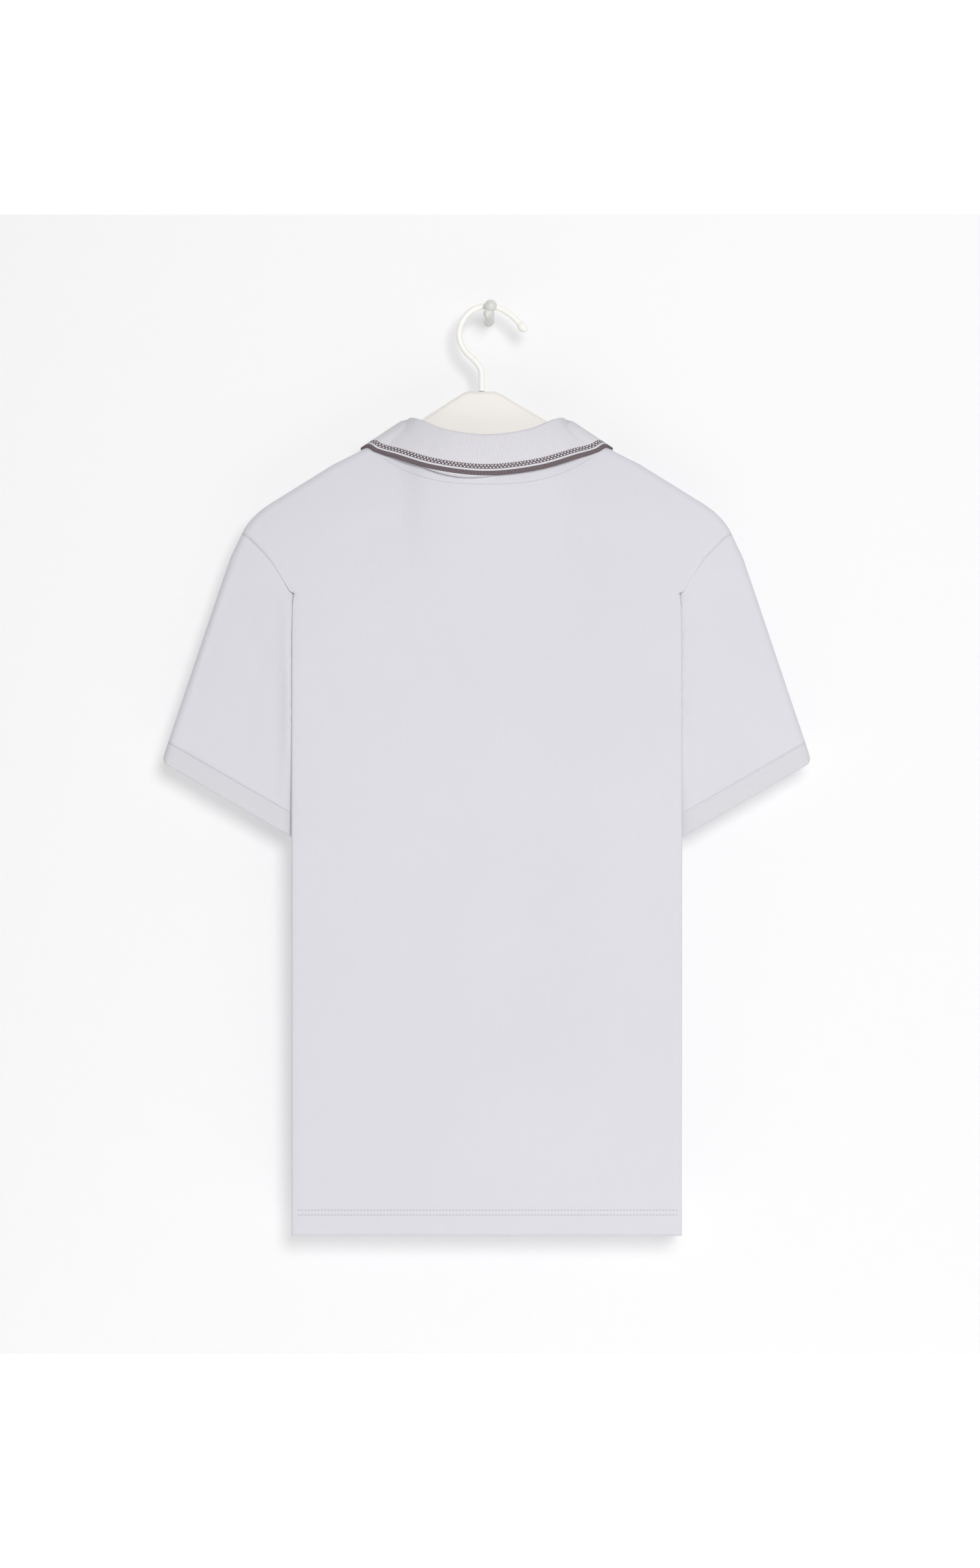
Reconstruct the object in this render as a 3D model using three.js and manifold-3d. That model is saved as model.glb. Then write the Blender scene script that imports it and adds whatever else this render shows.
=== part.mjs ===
// A short-sleeved polo shirt that hangs from a small wall peg on a plain hanger.
// Millimetres, +Z up. The wall is the plane y = 0 and the shirt's back faces +Y.
// Garment points are measured from the shirt's own middle plane: y > 0 is its back, y < 0 its front.
// Cloth is a wall: each piece is a sheet of outer points with a second sheet a wall's thickness inside.

import * as THREE from "three";
import { mergeVertices } from "three/addons/utils/BufferGeometryUtils.js";
import Module from "manifold-3d";

const wasm = await Module();
wasm.setup();

// Driving sizes
const WALL_TO_MIDDLE = 38;
const GARMENT_X = 2;
const SEAM_GAP = 0.3;
const CLOTH = 1.2;
const HEM_CLOTH = 2;
const RIB = 1.7;

// Body
const HEM_Z = -844;
const HEM_TURN_Z = -822;
const FOLD_X = 178.5;
const FOLD_TOP_Z = -257;
const HALF_CUT = 260;
const ARMPIT_Z = -397;
const FOLD_RADIUS = 2.6;
const FOLD_RADIUS_TOP = 1.45;
const FOLD_OPENS_OVER = 45;
const TURN_LENGTH = Math.PI * FOLD_RADIUS;
const FLAT_FOLD = FOLD_X - FOLD_RADIUS;
const GUSSET_START = FLAT_FOLD + TURN_LENGTH;
const SIDE_SEAM_X = FLAT_FOLD - (HALF_CUT - GUSSET_START);
const GROOVE = { start: 1, shape: 0.55 };
const RIDGE_RADIUS = 8;
const FULLNESS_LENGTH = 40;
const BODY_DEPTH = [
  { z: -900, depth: 13 },
  { z: -844, depth: 13 },
  { z: -600, depth: 15.5 },
  { z: -400, depth: 16.5 },
  { z: 0, depth: 16.5 },
];

// The top outline of shirt and sleeve, from the middle out and down to the cuff.
// SHOULDER_SLANT is a height below the shoulder line for each millimetre square to it.
const SHOULDER_LINE = [
  { x: 0, z: -55.1 },
  { x: 86, z: -107 },
  { x: 118, z: -126.3 },
  { x: 140, z: -137.2 },
  { x: 201, z: -175 },
];
const SHOULDER_SLANT = Math.hypot(1, 0.61);
const SHOULDER_ROUND = [
  { x: 209, z: -181 },
  { x: 217, z: -189 },
  { x: 223, z: -197.5 },
];
const SHOULDER_TIP = { x: 225, z: -202 };

// The sleeve is a flattened tube between its cap and its end, and the cuff goes on from there
const SLEEVE_OUTER_END = { x: 292.6, z: -393.2 };
const SLEEVE_UNDER_END = { x: 152.3, z: -473.3 };
const SLEEVE_OUTER_BULGE = { at: 0.11, width: 2.7 };
const SLEEVE_DEPTH = { edge: 6.5, middle: 8.5, over: 60 };
const SLEEVE_ROWS = [0, 0.05, 0.12, 0.22, 0.34, 0.5, 0.66, 0.82, 1];
const SLEEVE_FREE_FROM = 0.4;
const CUFF_OUTER_END = { x: 298.3, z: -410.6 };
const CUFF_UNDER_END = { x: 161.5, z: -489.4 };
const CUFF_ROWS = [0.017, 0.33, 0.67, 0.9, 1];
const CUFF_CORNER = { length: 6, rise: 3.2 };

// Near the armhole the sleeve drops under the body's side fold, between two distances below its top,
// and less and less towards its outer line
const LAP = { start: 20, end: 52, drop: 3.4, fromOuter: 15 };
const UNDER_ARM = { start: 3, radius: 3.5, steep: 1.2, slope: 0.12 };
// Under the fold the sleeve keeps this far from the tuck: at its seam, and further along
const GROOVE_CLEARANCE = { seam: 0.4, further: 0.5, over: 0.1, widthOver: 10 };

// The seam between shoulder tip and the top of the side fold, as it shows from behind
const ARMHOLE_SEEN = [
  { x: 225, z: -202 },
  { x: 218.7, z: -205.5 },
  { x: 211.3, z: -212.7 },
  { x: 203.8, z: -220 },
  { x: 196.3, z: -229 },
  { x: 187.5, z: -242.7 },
  { x: FOLD_X, z: FOLD_TOP_Z },
];

// Neck
const NECK_HALF = 86;
const NECK = {
  back: { z: -145, curve: 2.5, bulge: 10.5, fade: 75 },
  front: { z: -192, curve: 2.2, bulge: 7, fade: 90 },
};
const BULGE_SHAPE = 0.75;

// Placket and buttons
const PLACKET_WIDTH = 31;
const PLACKET_END_Z = -350;
const PLACKET_PROUD = 0.4;
const PLACKET_CELLS = { across: 4, up: 10 };
const BUTTON_RADIUS = 5.75;
// The button's section: how far in from its rim, and how far above its back
const BUTTON_SECTION = [
  { inward: BUTTON_RADIUS, up: 0 },
  { inward: 0.5, up: 0 },
  { inward: 0, up: 0.6 },
  { inward: 0, up: 1.9 },
  { inward: 0.7, up: 2.6 },
  { inward: 1.6, up: 2 },
  { inward: BUTTON_RADIUS, up: 2 },
];
const BUTTON_Z = [-214, -262, -310];

// Collar: stations from the middle of the back round to the front edge. angle runs round the neck
// in degrees, fold is the axis that the cloth folds over, and edge is where the free edge lies.
// COLLAR_LIFT is how far the cloth stands off the shirt next to the fold and at the free edge.
const COLLAR_FOLD_RADIUS = 2.6;
const COLLAR_LIFT = { neck: 4.2, edge: 2.3 };
const NECK_MARGIN = 12;
const COLLAR_STATIONS = [
  { angle: 0, fold: [0, 27, -115.7], edge: [0, 28.5, -150.6] },
  { angle: 30, fold: [38, 24, -110.6], edge: [50, 26, -144.5] },
  { angle: 60, fold: [63, 12.6, -99.8], edge: [91, 14, -131] },
  { angle: 90, fold: [70.5, 0, -98.3], edge: [115.5, 0, -124.6] },
  { angle: 115, fold: [62, -15, -112], edge: [104, -16, -150] },
  { angle: 145, fold: [38, -24, -152], edge: [77, -22, -190] },
  { angle: 177.5, fold: [7, -25, -181], edge: [43, -25, -230] },
];
// How many sections each stretch between two stations has, and the points of one section
const COLLAR_SECTIONS = [4, 4, 7, 7, 4, 4];
const STAND_SHARES = [0, 0.35, 0.7];
const FOLD_TURNS = 6;
const FALL_SHARES = [0.2, 0.4, 0.6, 0.8, 1];
// How far the stand starts above the neck seam, at the middle and at the top of the shoulder
const COLLAR_SEAM_RISE = { middle: 1, shoulder: 2.4, sharpness: 6 };

// Hanger, measured from the shirt's middle line
const HANGER_HALF_THICK = 4.5;
const HANGER_ROUND = 3.8;
const HANGER_TOP = [
  { x: -201, z: -178 },
  { x: -160, z: -152 },
  { x: -120, z: -129.8 },
  { x: -90, z: -115.5 },
  { x: -72, z: -107.5 },
  { x: -57.4, z: -99.3 },
  { x: -13, z: -73 },
  { x: -7.8, z: -70.7 },
  { x: 17.8, z: -70.7 },
  { x: 23, z: -73 },
  { x: 54, z: -93 },
  { x: 72, z: -105 },
  { x: 90, z: -114 },
  { x: 120, z: -129.8 },
  { x: 160, z: -152 },
  { x: 201, z: -178 },
];
const HANGER_BOTTOM = [
  { x: 204, z: -188 },
  { x: 196, z: -193 },
  { x: 120, z: -150 },
  { x: 50, z: -122 },
  { x: 5, z: -114 },
  { x: -50, z: -122 },
  { x: -120, z: -150 },
  { x: -196, z: -193 },
  { x: -204, z: -188 },
];
const HOOK_RADIUS = 2.8;
const HOOK_TIP_RADIUS = 3.7;
const HOOK_STEM_Z = -70.4;
const HOOK_LINE = [
  { x: 4.7, z: -60 },
  { x: 5.3, z: -51 },
  { x: 10.4, z: -43 },
  { x: 17.8, z: -35.7 },
  { x: 22.9, z: -28.2 },
  { x: 25.3, z: -20 },
  { x: 24.4, z: -11.5 },
  { x: 21, z: -3.8 },
  { x: 15, z: 2.8 },
  { x: 7, z: 6.9 },
  { x: -2, z: 7.9 },
  { x: -11, z: 6.2 },
  { x: -19, z: 2 },
  { x: -26, z: -3.8 },
  { x: -32.5, z: -11.2 },
];

// Wall peg, measured from its own axis
const PEG_RADIUS = 4.8;
const PEG_REACH = 46;
const PEG_NOSE_RADIUS = 5.1;
const PEG_BALL = { x: -1.6, y: 48, z: 6.6, radius: 5.7 };

const SHIRT = new THREE.MeshStandardMaterial({ color: 0xe2e1e6, roughness: 0.9, metalness: 0 });
const RIB_CLOTH = new THREE.MeshStandardMaterial({ color: 0xd9d8de, roughness: 0.92, metalness: 0 });
const COLLAR_CLOTH = new THREE.MeshStandardMaterial({ color: 0x82757a, roughness: 0.92, metalness: 0 });
const BUTTON = new THREE.MeshStandardMaterial({ color: 0xeeece8, roughness: 0.35, metalness: 0 });
const HANGER = new THREE.MeshStandardMaterial({ color: 0xf2efe9, roughness: 0.5, metalness: 0 });
const PEG = new THREE.MeshStandardMaterial({ color: 0xf0f0ee, roughness: 0.45, metalness: 0 });

// How many flats the round pieces have
const FACETS = { round: 18, ball: 12, hook: 10, hookSteps: 40, bevel: 4 };

// Points of a sheet that are closer than this are one point
const SAME_POINT = 0.002;

const mix = THREE.MathUtils.lerp;
const clamp = THREE.MathUtils.clamp;

function smoothStep(value) {
  const t = clamp(value, 0, 1);
  return t * t * (3 - 2 * t);
}

// Even steps from one value to another, both ends included
function steps(from, to, count) {
  return Array.from({ length: count + 1 }, (_, i) => mix(from, to, i / count));
}

function tableValue(rows, z, key) {
  const found = rows.findIndex((row) => z <= row.z);
  const next = clamp(found, 1, rows.length - 1);
  const [a, b] = [rows[next - 1], rows[next]];
  return mix(a[key], b[key], clamp((z - a.z) / (b.z - a.z), 0, 1));
}

function between(a, b, t) {
  return { x: mix(a.x, b.x, t), z: mix(a.z, b.z, t) };
}

// A polyline of { x, z } rows that can be sampled by its length
class Path {
  constructor(rows) {
    this.rows = rows;
    this.at = [0];
    for (let i = 1; i < rows.length; i += 1) {
      const run = Math.hypot(rows[i].x - rows[i - 1].x, rows[i].z - rows[i - 1].z);
      this.at.push(this.at[i - 1] + run);
    }
    this.length = this.at[this.at.length - 1];
  }

  point(distance) {
    const along = clamp(distance, 0, this.length);
    let i = 1;
    while (i < this.rows.length - 1 && this.at[i] < along) {
      i += 1;
    }
    const t = (along - this.at[i - 1]) / (this.at[i] - this.at[i - 1]);
    return between(this.rows[i - 1], this.rows[i], t);
  }

  distanceTo(x, z) {
    let best = Infinity;
    for (let i = 1; i < this.rows.length; i += 1) {
      const [a, b] = [this.rows[i - 1], this.rows[i]];
      const [dx, dz] = [b.x - a.x, b.z - a.z];
      const t = clamp(((x - a.x) * dx + (z - a.z) * dz) / (dx * dx + dz * dz), 0, 1);
      best = Math.min(best, Math.hypot(x - a.x - t * dx, z - a.z - t * dz));
    }
    return best;
  }
}

function shoulderZ(x) {
  const next = Math.max(1, SHOULDER_LINE.findIndex((row) => row.x >= x));
  const [a, b] = [SHOULDER_LINE[next - 1], SHOULDER_LINE[next]];
  return mix(a.z, b.z, (x - a.x) / (b.x - a.x));
}

// How far the sleeve's outer line stands out from straight, at a share v of its length
function outerBulge(v) {
  const { at, width } = SLEEVE_OUTER_BULGE;
  return width * Math.min(v / at, (1 - v) / (1 - at));
}

function sleeveOuter(v) {
  const { x, z } = between(SHOULDER_TIP, SLEEVE_OUTER_END, v);
  return { x: x + outerBulge(v), z };
}

const RIDGE = new Path([
  ...SHOULDER_LINE,
  ...SHOULDER_ROUND,
  SHOULDER_TIP,
  sleeveOuter(SLEEVE_OUTER_BULGE.at),
  SLEEVE_OUTER_END,
  between(SLEEVE_OUTER_END, CUFF_OUTER_END, 3),
]);

function roundEdge(distance, radius) {
  const inside = Math.min(distance, radius);
  return Math.sqrt(Math.max(0, radius * radius - (radius - inside) ** 2));
}

function neckZ(side, x) {
  const shape = NECK[side];
  const hpsZ = shoulderZ(NECK_HALF);
  return shape.z + (hpsZ - shape.z) * (Math.abs(x) / NECK_HALF) ** shape.curve;
}

// How far the shirt's outer face stands from its middle plane
function bodyY(side, x, z) {
  const along = Math.abs(x);
  const fromRidge = RIDGE.distanceTo(along, z);
  const plateau = tableValue(BODY_DEPTH, z, "depth") - RIDGE_RADIUS;
  const fullness = 1 - Math.exp(-Math.max(0, fromRidge - RIDGE_RADIUS) / FULLNESS_LENGTH);
  const shape = NECK[side];
  const across = Math.max(0, 1 - (along / NECK_HALF) ** 2) ** BULGE_SHAPE;
  const down = Math.max(0, neckZ(side, along) - z) / shape.fade;
  const bulge = shape.bulge * across * Math.exp(-down * down);
  return roundEdge(fromRidge, RIDGE_RADIUS) + plateau * fullness + bulge;
}

function foldRadius(z) {
  const open = smoothStep((FOLD_TOP_Z - z) / FOLD_OPENS_OVER);
  return mix(FOLD_RADIUS_TOP, FOLD_RADIUS, open);
}

// The side tuck's outer face, facing the groove between the back's tuck and the front's
function grooveY(side, x, z) {
  const radius = foldRadius(z);
  const edge = bodyY(side, FLAT_FOLD, z) - 2 * radius;
  const start = SIDE_SEAM_X + GROOVE.start;
  const t = clamp((x - start) / (FLAT_FOLD - start), 0, 1);
  return mix(SEAM_GAP / 2, edge, t ** GROOVE.shape);
}

// The armhole's height at a distance p from the middle, in the flat cut, beyond the fold
function armholeZ(p) {
  const t = clamp((p - FLAT_FOLD) / (HALF_CUT - FLAT_FOLD), 0, 1);
  return FOLD_TOP_Z + (ARMPIT_Z - FOLD_TOP_Z) * Math.sin((t * Math.PI) / 2);
}

// Where a point of the flat cut lies on the folded shirt: p across from the middle, z up
function foldBody(side, p, z) {
  const sign = side === "back" ? 1 : -1;
  if (p <= FLAT_FOLD || z > FOLD_TOP_Z) {
    return [p, sign * bodyY(side, p, z), z];
  }
  if (p < GUSSET_START) {
    const radius = foldRadius(z);
    const turn = ((p - FLAT_FOLD) / TURN_LENGTH) * Math.PI;
    const y = bodyY(side, FLAT_FOLD, z) - radius + radius * Math.cos(turn);
    return [FLAT_FOLD + radius * Math.sin(turn), sign * y, z];
  }
  const x = FLAT_FOLD - (p - GUSSET_START);
  return [x, sign * grooveY(side, x, z), z];
}

// A sheet of cloth from quads of outer points. Points that fall together are one point, and the
// sheet's free borders are closed by a rim between its outer and inner face.
class Sheet {
  constructor() {
    this.points = [];
    this.found = new Map();
    this.faces = [];
  }

  vertex(point) {
    const key = point.map((value) => Math.round(value / SAME_POINT)).join(",");
    if (!this.found.has(key)) {
      this.found.set(key, this.points.length);
      this.points.push(point);
    }
    return this.found.get(key);
  }

  triangle(a, b, c) {
    if (a !== b && b !== c && a !== c) {
      this.faces.push([a, b, c]);
    }
  }

  // place(i, j) gives a point; keep(i, j) says whether the cell from there is cloth
  block(columns, rows, place, keep = () => true) {
    const column = (i) => steps(0, rows, rows).map((j) => this.vertex(place(i, j)));
    const grid = steps(0, columns, columns).map(column);
    for (let i = 0; i < columns; i += 1) {
      for (let j = 0; j < rows; j += 1) {
        if (keep(i, j)) {
          this.triangle(grid[i][j], grid[i + 1][j], grid[i + 1][j + 1]);
          this.triangle(grid[i][j], grid[i + 1][j + 1], grid[i][j + 1]);
        }
      }
    }
  }

  normals() {
    const sums = this.points.map(() => new THREE.Vector3());
    for (const [a, b, c] of this.faces) {
      const [pa, pb, pc] = [a, b, c].map((index) => new THREE.Vector3(...this.points[index]));
      const cross = pb.sub(pa).cross(pc.sub(pa));
      for (const index of [a, b, c]) {
        sums[index].add(cross);
      }
    }
    return sums.map((sum, index) => {
      const [, y, z] = this.points[index];
      const onRidge = Math.abs(y) < SEAM_GAP && z > SHOULDER_TIP.z - 1;
      return (onRidge ? sum.setY(0) : sum).normalize();
    });
  }

  // thickness(point) is the wall there, laid behind the outer face
  geometry(thickness) {
    const normals = this.normals();
    const count = this.points.length;
    const inner = this.points.map((point, index) => {
      const depth = thickness(point);
      return point.map((value, axis) => value - normals[index].getComponent(axis) * depth);
    });
    const triangles = [];
    const borders = new Map();
    for (const [a, b, c] of this.faces) {
      triangles.push(a, b, c, a + count, c + count, b + count);
      for (const [from, to] of [[a, b], [b, c], [c, a]]) {
        if (!borders.delete(`${to},${from}`)) {
          borders.set(`${from},${to}`, [from, to]);
        }
      }
    }
    for (const [from, to] of borders.values()) {
      triangles.push(to, from, from + count, to, from + count, to + count);
    }
    const geometry = new THREE.BufferGeometry();
    const values = [...this.points, ...inner].flat();
    geometry.setAttribute("position", new THREE.Float32BufferAttribute(values, 3));
    geometry.setIndex(triangles);
    return geometry;
  }
}

// The same shape on the other side of the middle line
function mirrored(geometry) {
  const copy = geometry.clone();
  copy.scale(-1, 1, 1);
  const index = copy.getIndex().array;
  for (let i = 0; i < index.length; i += 3) {
    [index[i + 1], index[i + 2]] = [index[i + 2], index[i + 1]];
  }
  return copy;
}

function finished(geometry, name, material) {
  geometry.computeVertexNormals();
  const mesh = new THREE.Mesh(geometry, material);
  mesh.name = name;
  return mesh;
}

function toManifold(geometry) {
  const bare = geometry.clone();
  bare.deleteAttribute("normal");
  bare.deleteAttribute("uv");
  const merged = mergeVertices(bare, 1e-4);
  const vertProperties = Float32Array.from(merged.getAttribute("position").array);
  const triVerts = Uint32Array.from(merged.getIndex().array);
  return new wasm.Manifold(new wasm.Mesh({ numProp: 3, vertProperties, triVerts }));
}

function fromManifold(solid) {
  const mesh = solid.getMesh();
  const geometry = new THREE.BufferGeometry();
  geometry.setAttribute("position", new THREE.Float32BufferAttribute(mesh.vertProperties, 3));
  geometry.setIndex(Array.from(mesh.triVerts));
  return geometry;
}

// A panel's rows: below the fold's top by height, above it by a share that ends at ridge or neck
const LOWER_ROWS = [
  HEM_Z, HEM_TURN_Z - 1, HEM_TURN_Z, -740, -650, -560, -470, -405, PLACKET_END_Z, -316, -284, FOLD_TOP_Z,
];
const HEM_ROWS = 3;
const UPPER_ROWS = 8;
const RIDGE_DROPS = [0, 1.07, 4, 8];
const NECK_DROPS = [0, 1.2, 4.5, 9];
const SEAM_DROPS = [0, 2.2, 5, 9];
const RIDGE_ROWS = RIDGE_DROPS.length - 1;
const WING_COLUMNS = 6;
const MIDDLE_COLUMN = 20;
const NECK_ANGLES = [22, 35, 48, 60, 70, 78, 84, 90];
const SIDE_COLUMNS = [102, 118, 140, 160];
const TURN_COLUMNS = 4;
const TUCK_SHARES = [0.2, 0.45, 0.7, 0.88, 0.96, 1];

// The height of an upper row of the main width
function upperZ(side, p, j) {
  const inNeck = p < NECK_HALF;
  const top = inNeck ? neckZ(side, p) : shoulderZ(p);
  const drops = inNeck ? NECK_DROPS : RIDGE_DROPS;
  const fromTop = UPPER_ROWS - j;
  if (fromTop <= RIDGE_ROWS) {
    return top - drops[fromTop] * SHOULDER_SLANT;
  }
  return mix(FOLD_TOP_Z, top - drops[RIDGE_ROWS] * SHOULDER_SLANT, j / (UPPER_ROWS - RIDGE_ROWS));
}

const WING_SEAM = new Path([...ARMHOLE_SEEN].reverse());
const WING_TOP = new Path([
  { x: FLAT_FOLD, z: shoulderZ(FLAT_FOLD) },
  SHOULDER_LINE.at(-1),
  ...SHOULDER_ROUND,
  SHOULDER_TIP,
]);

// A point of the wing between the main width, the shoulder ridge and the armhole seam
function wingPoint(side, i, j) {
  const s = i / WING_COLUMNS;
  const fromTop = UPPER_ROWS - j;
  const full = WING_SEAM.length;
  const along = fromTop <= RIDGE_ROWS
    ? full - SEAM_DROPS[fromTop]
    : mix(0, full - SEAM_DROPS[RIDGE_ROWS], j / (UPPER_ROWS - RIDGE_ROWS));
  const left = { x: FLAT_FOLD, z: upperZ(side, FLAT_FOLD, j) };
  const level = between(left, WING_SEAM.point(along), s);
  const crest = WING_TOP.point(s * WING_TOP.length);
  const chord = between(WING_TOP.rows[0], SHOULDER_TIP, s);
  const rise = (j / UPPER_ROWS) ** 3;
  return { x: level.x + (crest.x - chord.x) * rise, z: level.z + (crest.z - chord.z) * rise };
}

// Half a panel in its flat cut: the main width, the turn and tuck at the side, and the wing
function panelHalf(sheet, side, sign) {
  const slot = side === "front" ? PLACKET_WIDTH / 2 + SEAM_GAP : MIDDLE_COLUMN;
  const neckP = NECK_ANGLES.map((angle) => NECK_HALF * Math.sin(THREE.MathUtils.degToRad(angle)));
  const mainP = [0, slot, ...neckP, ...SIDE_COLUMNS, FLAT_FOLD];
  const turnP = steps(FLAT_FOLD, GUSSET_START, TURN_COLUMNS);
  const sideP = [...turnP, ...TUCK_SHARES.map((share) => mix(GUSSET_START, HALF_CUT, share))];
  const flip = (sign > 0) === (side === "back");

  const block = (columns, rows, at, keep = () => true) => {
    const turned = (i, last) => (flip ? last - i : i);
    const place = (i, j) => {
      const [x, y, z] = at(turned(i, columns), j);
      return [sign * x, y, z];
    };
    sheet.block(columns, rows, place, (i, j) => keep(turned(i, columns - 1), j));
  };
  const outsideSlot = (i, z) => side === "back" || i > 0 || z < PLACKET_END_Z;
  const lowest = LOWER_ROWS.length - 1;

  block(
    mainP.length - 1,
    lowest,
    (i, j) => foldBody(side, mainP[i], LOWER_ROWS[j]),
    (i, j) => outsideSlot(i, LOWER_ROWS[j]),
  );
  block(
    mainP.length - 1,
    UPPER_ROWS,
    (i, j) => foldBody(side, mainP[i], upperZ(side, mainP[i], j)),
    (i) => outsideSlot(i, FOLD_TOP_Z),
  );
  // Beyond the fold each column runs from the hem up to the armhole
  block(sideP.length - 1, lowest, (i, j) => {
    const share = (LOWER_ROWS[j] - HEM_TURN_Z) / (FOLD_TOP_Z - HEM_TURN_Z);
    const z = j < HEM_ROWS ? LOWER_ROWS[j] : mix(HEM_TURN_Z, armholeZ(sideP[i]), share);
    return foldBody(side, sideP[i], z);
  });
  block(WING_COLUMNS, UPPER_ROWS, (i, j) => {
    if (j === 0) {
      return foldBody(side, FLAT_FOLD, FOLD_TOP_Z);
    }
    const { x, z } = wingPoint(side, i, j);
    return [x, bodyY(side, x, z) * (side === "back" ? 1 : -1), z];
  });
}

// Ridge points of both panels meet on the middle plane, so each keeps half the seam's gap from it
function openRidge(sheet, side) {
  const sign = side === "back" ? 1 : -1;
  for (const point of sheet.points) {
    if (Math.abs(point[1]) < SEAM_GAP / 2) {
      point[1] = (sign * SEAM_GAP) / 2;
    }
  }
}

function panel(side) {
  const sheet = new Sheet();
  panelHalf(sheet, side, 1);
  panelHalf(sheet, side, -1);
  openRidge(sheet, side);
  const thickness = ([, , z]) => (z < HEM_TURN_Z - SEAM_GAP ? HEM_CLOTH : CLOTH);
  return finished(sheet.geometry(thickness), `${side}_panel`, SHIRT);
}

// The sleeve's seam line: along the visible armhole, then under the side tuck to the armpit
function sleeveCap() {
  const seen = ARMHOLE_SEEN.map(({ x, z }) => ({ x: x + SEAM_GAP, z: z - SEAM_GAP }));
  const hidden = steps(GUSSET_START, HALF_CUT - UNDER_ARM.start, 6).map((p) => ({
    x: FLAT_FOLD - (p - GUSSET_START),
    z: armholeZ(p),
  }));
  return new Path([...seen, ...hidden]);
}

const CAP = sleeveCap();
const UNDER_LINE = new Path([
  CAP.point(CAP.length),
  SLEEVE_UNDER_END,
  between(SLEEVE_UNDER_END, CUFF_UNDER_END, 2),
]);

// How far the sleeve's outer face stands from the middle plane
function sleeveY(x, z, v) {
  const fromOuter = RIDGE.distanceTo(x, z);
  const { edge, middle, over } = SLEEVE_DEPTH;
  const rounded = roundEdge(fromOuter, mix(RIDGE_RADIUS, edge, v));
  const tube = rounded + (middle - edge) * smoothStep(fromOuter / over);
  const lap = smoothStep((CAP.rows[0].z - z - LAP.start) / (LAP.end - LAP.start));
  const cap = bodyY("back", x, z) - lap * smoothStep(fromOuter / LAP.fromOuter) * LAP.drop;
  const free = mix(cap, Math.min(cap, tube), smoothStep(v / SLEEVE_FREE_FROM));
  const fromUnder = UNDER_LINE.distanceTo(x, z);
  const under = roundEdge(fromUnder, UNDER_ARM.radius) * UNDER_ARM.steep + fromUnder * UNDER_ARM.slope;
  const clearance = GROOVE_CLEARANCE.seam + GROOVE_CLEARANCE.further * smoothStep(v / GROOVE_CLEARANCE.over);
  const groove = grooveY("back", x, z) - clearance;
  const inGroove = smoothStep((FOLD_X - x) / GROOVE_CLEARANCE.widthOver + 1);
  const limited = mix(free, Math.min(free, groove), inGroove);
  return Math.max(0, Math.min(limited, under));
}

// Columns round the sleeve: a distance from the outer line, and a share of the width that is left
// between the outer line and the narrow columns along the under-arm line
const SLEEVE_RIM = 14;
const SLEEVE_COLUMNS = [
  { distance: 0, share: 0 },
  { distance: 1.07, share: 0 },
  { distance: 4, share: 0 },
  { distance: 8, share: 0 },
  ...steps(0, 1, 8).slice(1).map((share) => ({ distance: 8, share })),
  { distance: 11, share: 1 },
  { distance: 13, share: 1 },
  { distance: SLEEVE_RIM, share: 1 },
];
const SLEEVE_WIDTH = new Path([SLEEVE_OUTER_END, SLEEVE_UNDER_END]).length;

// Where a column lies at a share v of the sleeve's length
function sleevePoint({ distance, share }, v) {
  const cap = CAP.point(distance + share * (CAP.length - SLEEVE_RIM));
  const s = (distance + share * (SLEEVE_WIDTH - SLEEVE_RIM)) / SLEEVE_WIDTH;
  const { x, z } = between(cap, between(SLEEVE_OUTER_END, SLEEVE_UNDER_END, s), v);
  return { x: x + outerBulge(v) * (1 - s) ** 3, z };
}

function cuffPoint({ distance, share }, v) {
  const along = distance + share * (SLEEVE_WIDTH - SLEEVE_RIM);
  const s = along / SLEEVE_WIDTH;
  const seam = between(SLEEVE_OUTER_END, SLEEVE_UNDER_END, s);
  const edge = between(CUFF_OUTER_END, CUFF_UNDER_END, s);
  const { x, z } = between(seam, edge, v);
  const corner = Math.max(0, 1 - along / CUFF_CORNER.length) ** 2 * CUFF_CORNER.rise * v ** 4;
  return { x: x - corner / 2, z: z + corner };
}

// A flattened tube from its middle plane's points: back and front half, closed at both side lines
function flatTube(rows, point, height, wall) {
  const sheet = new Sheet();
  const last = SLEEVE_COLUMNS.length - 1;
  for (const sign of [1, -1]) {
    const at = (i, j) => {
      const { x, z } = point(SLEEVE_COLUMNS[i], rows[j]);
      const y = i === 0 || i === last ? 0 : height(SLEEVE_COLUMNS[i], rows[j]);
      return [x, sign * y, z];
    };
    sheet.block(last, rows.length - 1, (i, j) => at(sign > 0 ? last - i : i, j));
  }
  return sheet.geometry(() => wall);
}

function sleeve() {
  const height = (column, v) => {
    const { x, z } = sleevePoint(column, v);
    return sleeveY(x, z, v);
  };
  return flatTube(SLEEVE_ROWS, sleevePoint, height, CLOTH);
}

// The cuff keeps the height that the sleeve has at its end
function cuff() {
  const height = (column) => {
    const { x, z } = sleevePoint(column, 1);
    return sleeveY(x, z, 1);
  };
  return flatTube(CUFF_ROWS, cuffPoint, height, RIB);
}

function neckSeam(angle) {
  const side = angle <= 90 ? "back" : "front";
  const x = NECK_HALF * Math.sin(THREE.MathUtils.degToRad(angle));
  const z = neckZ(side, x);
  const y = (side === "back" ? 1 : -1) * (bodyY(side, x, z) - CLOTH / 2);
  return new THREE.Vector3(x, y, z);
}

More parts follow.
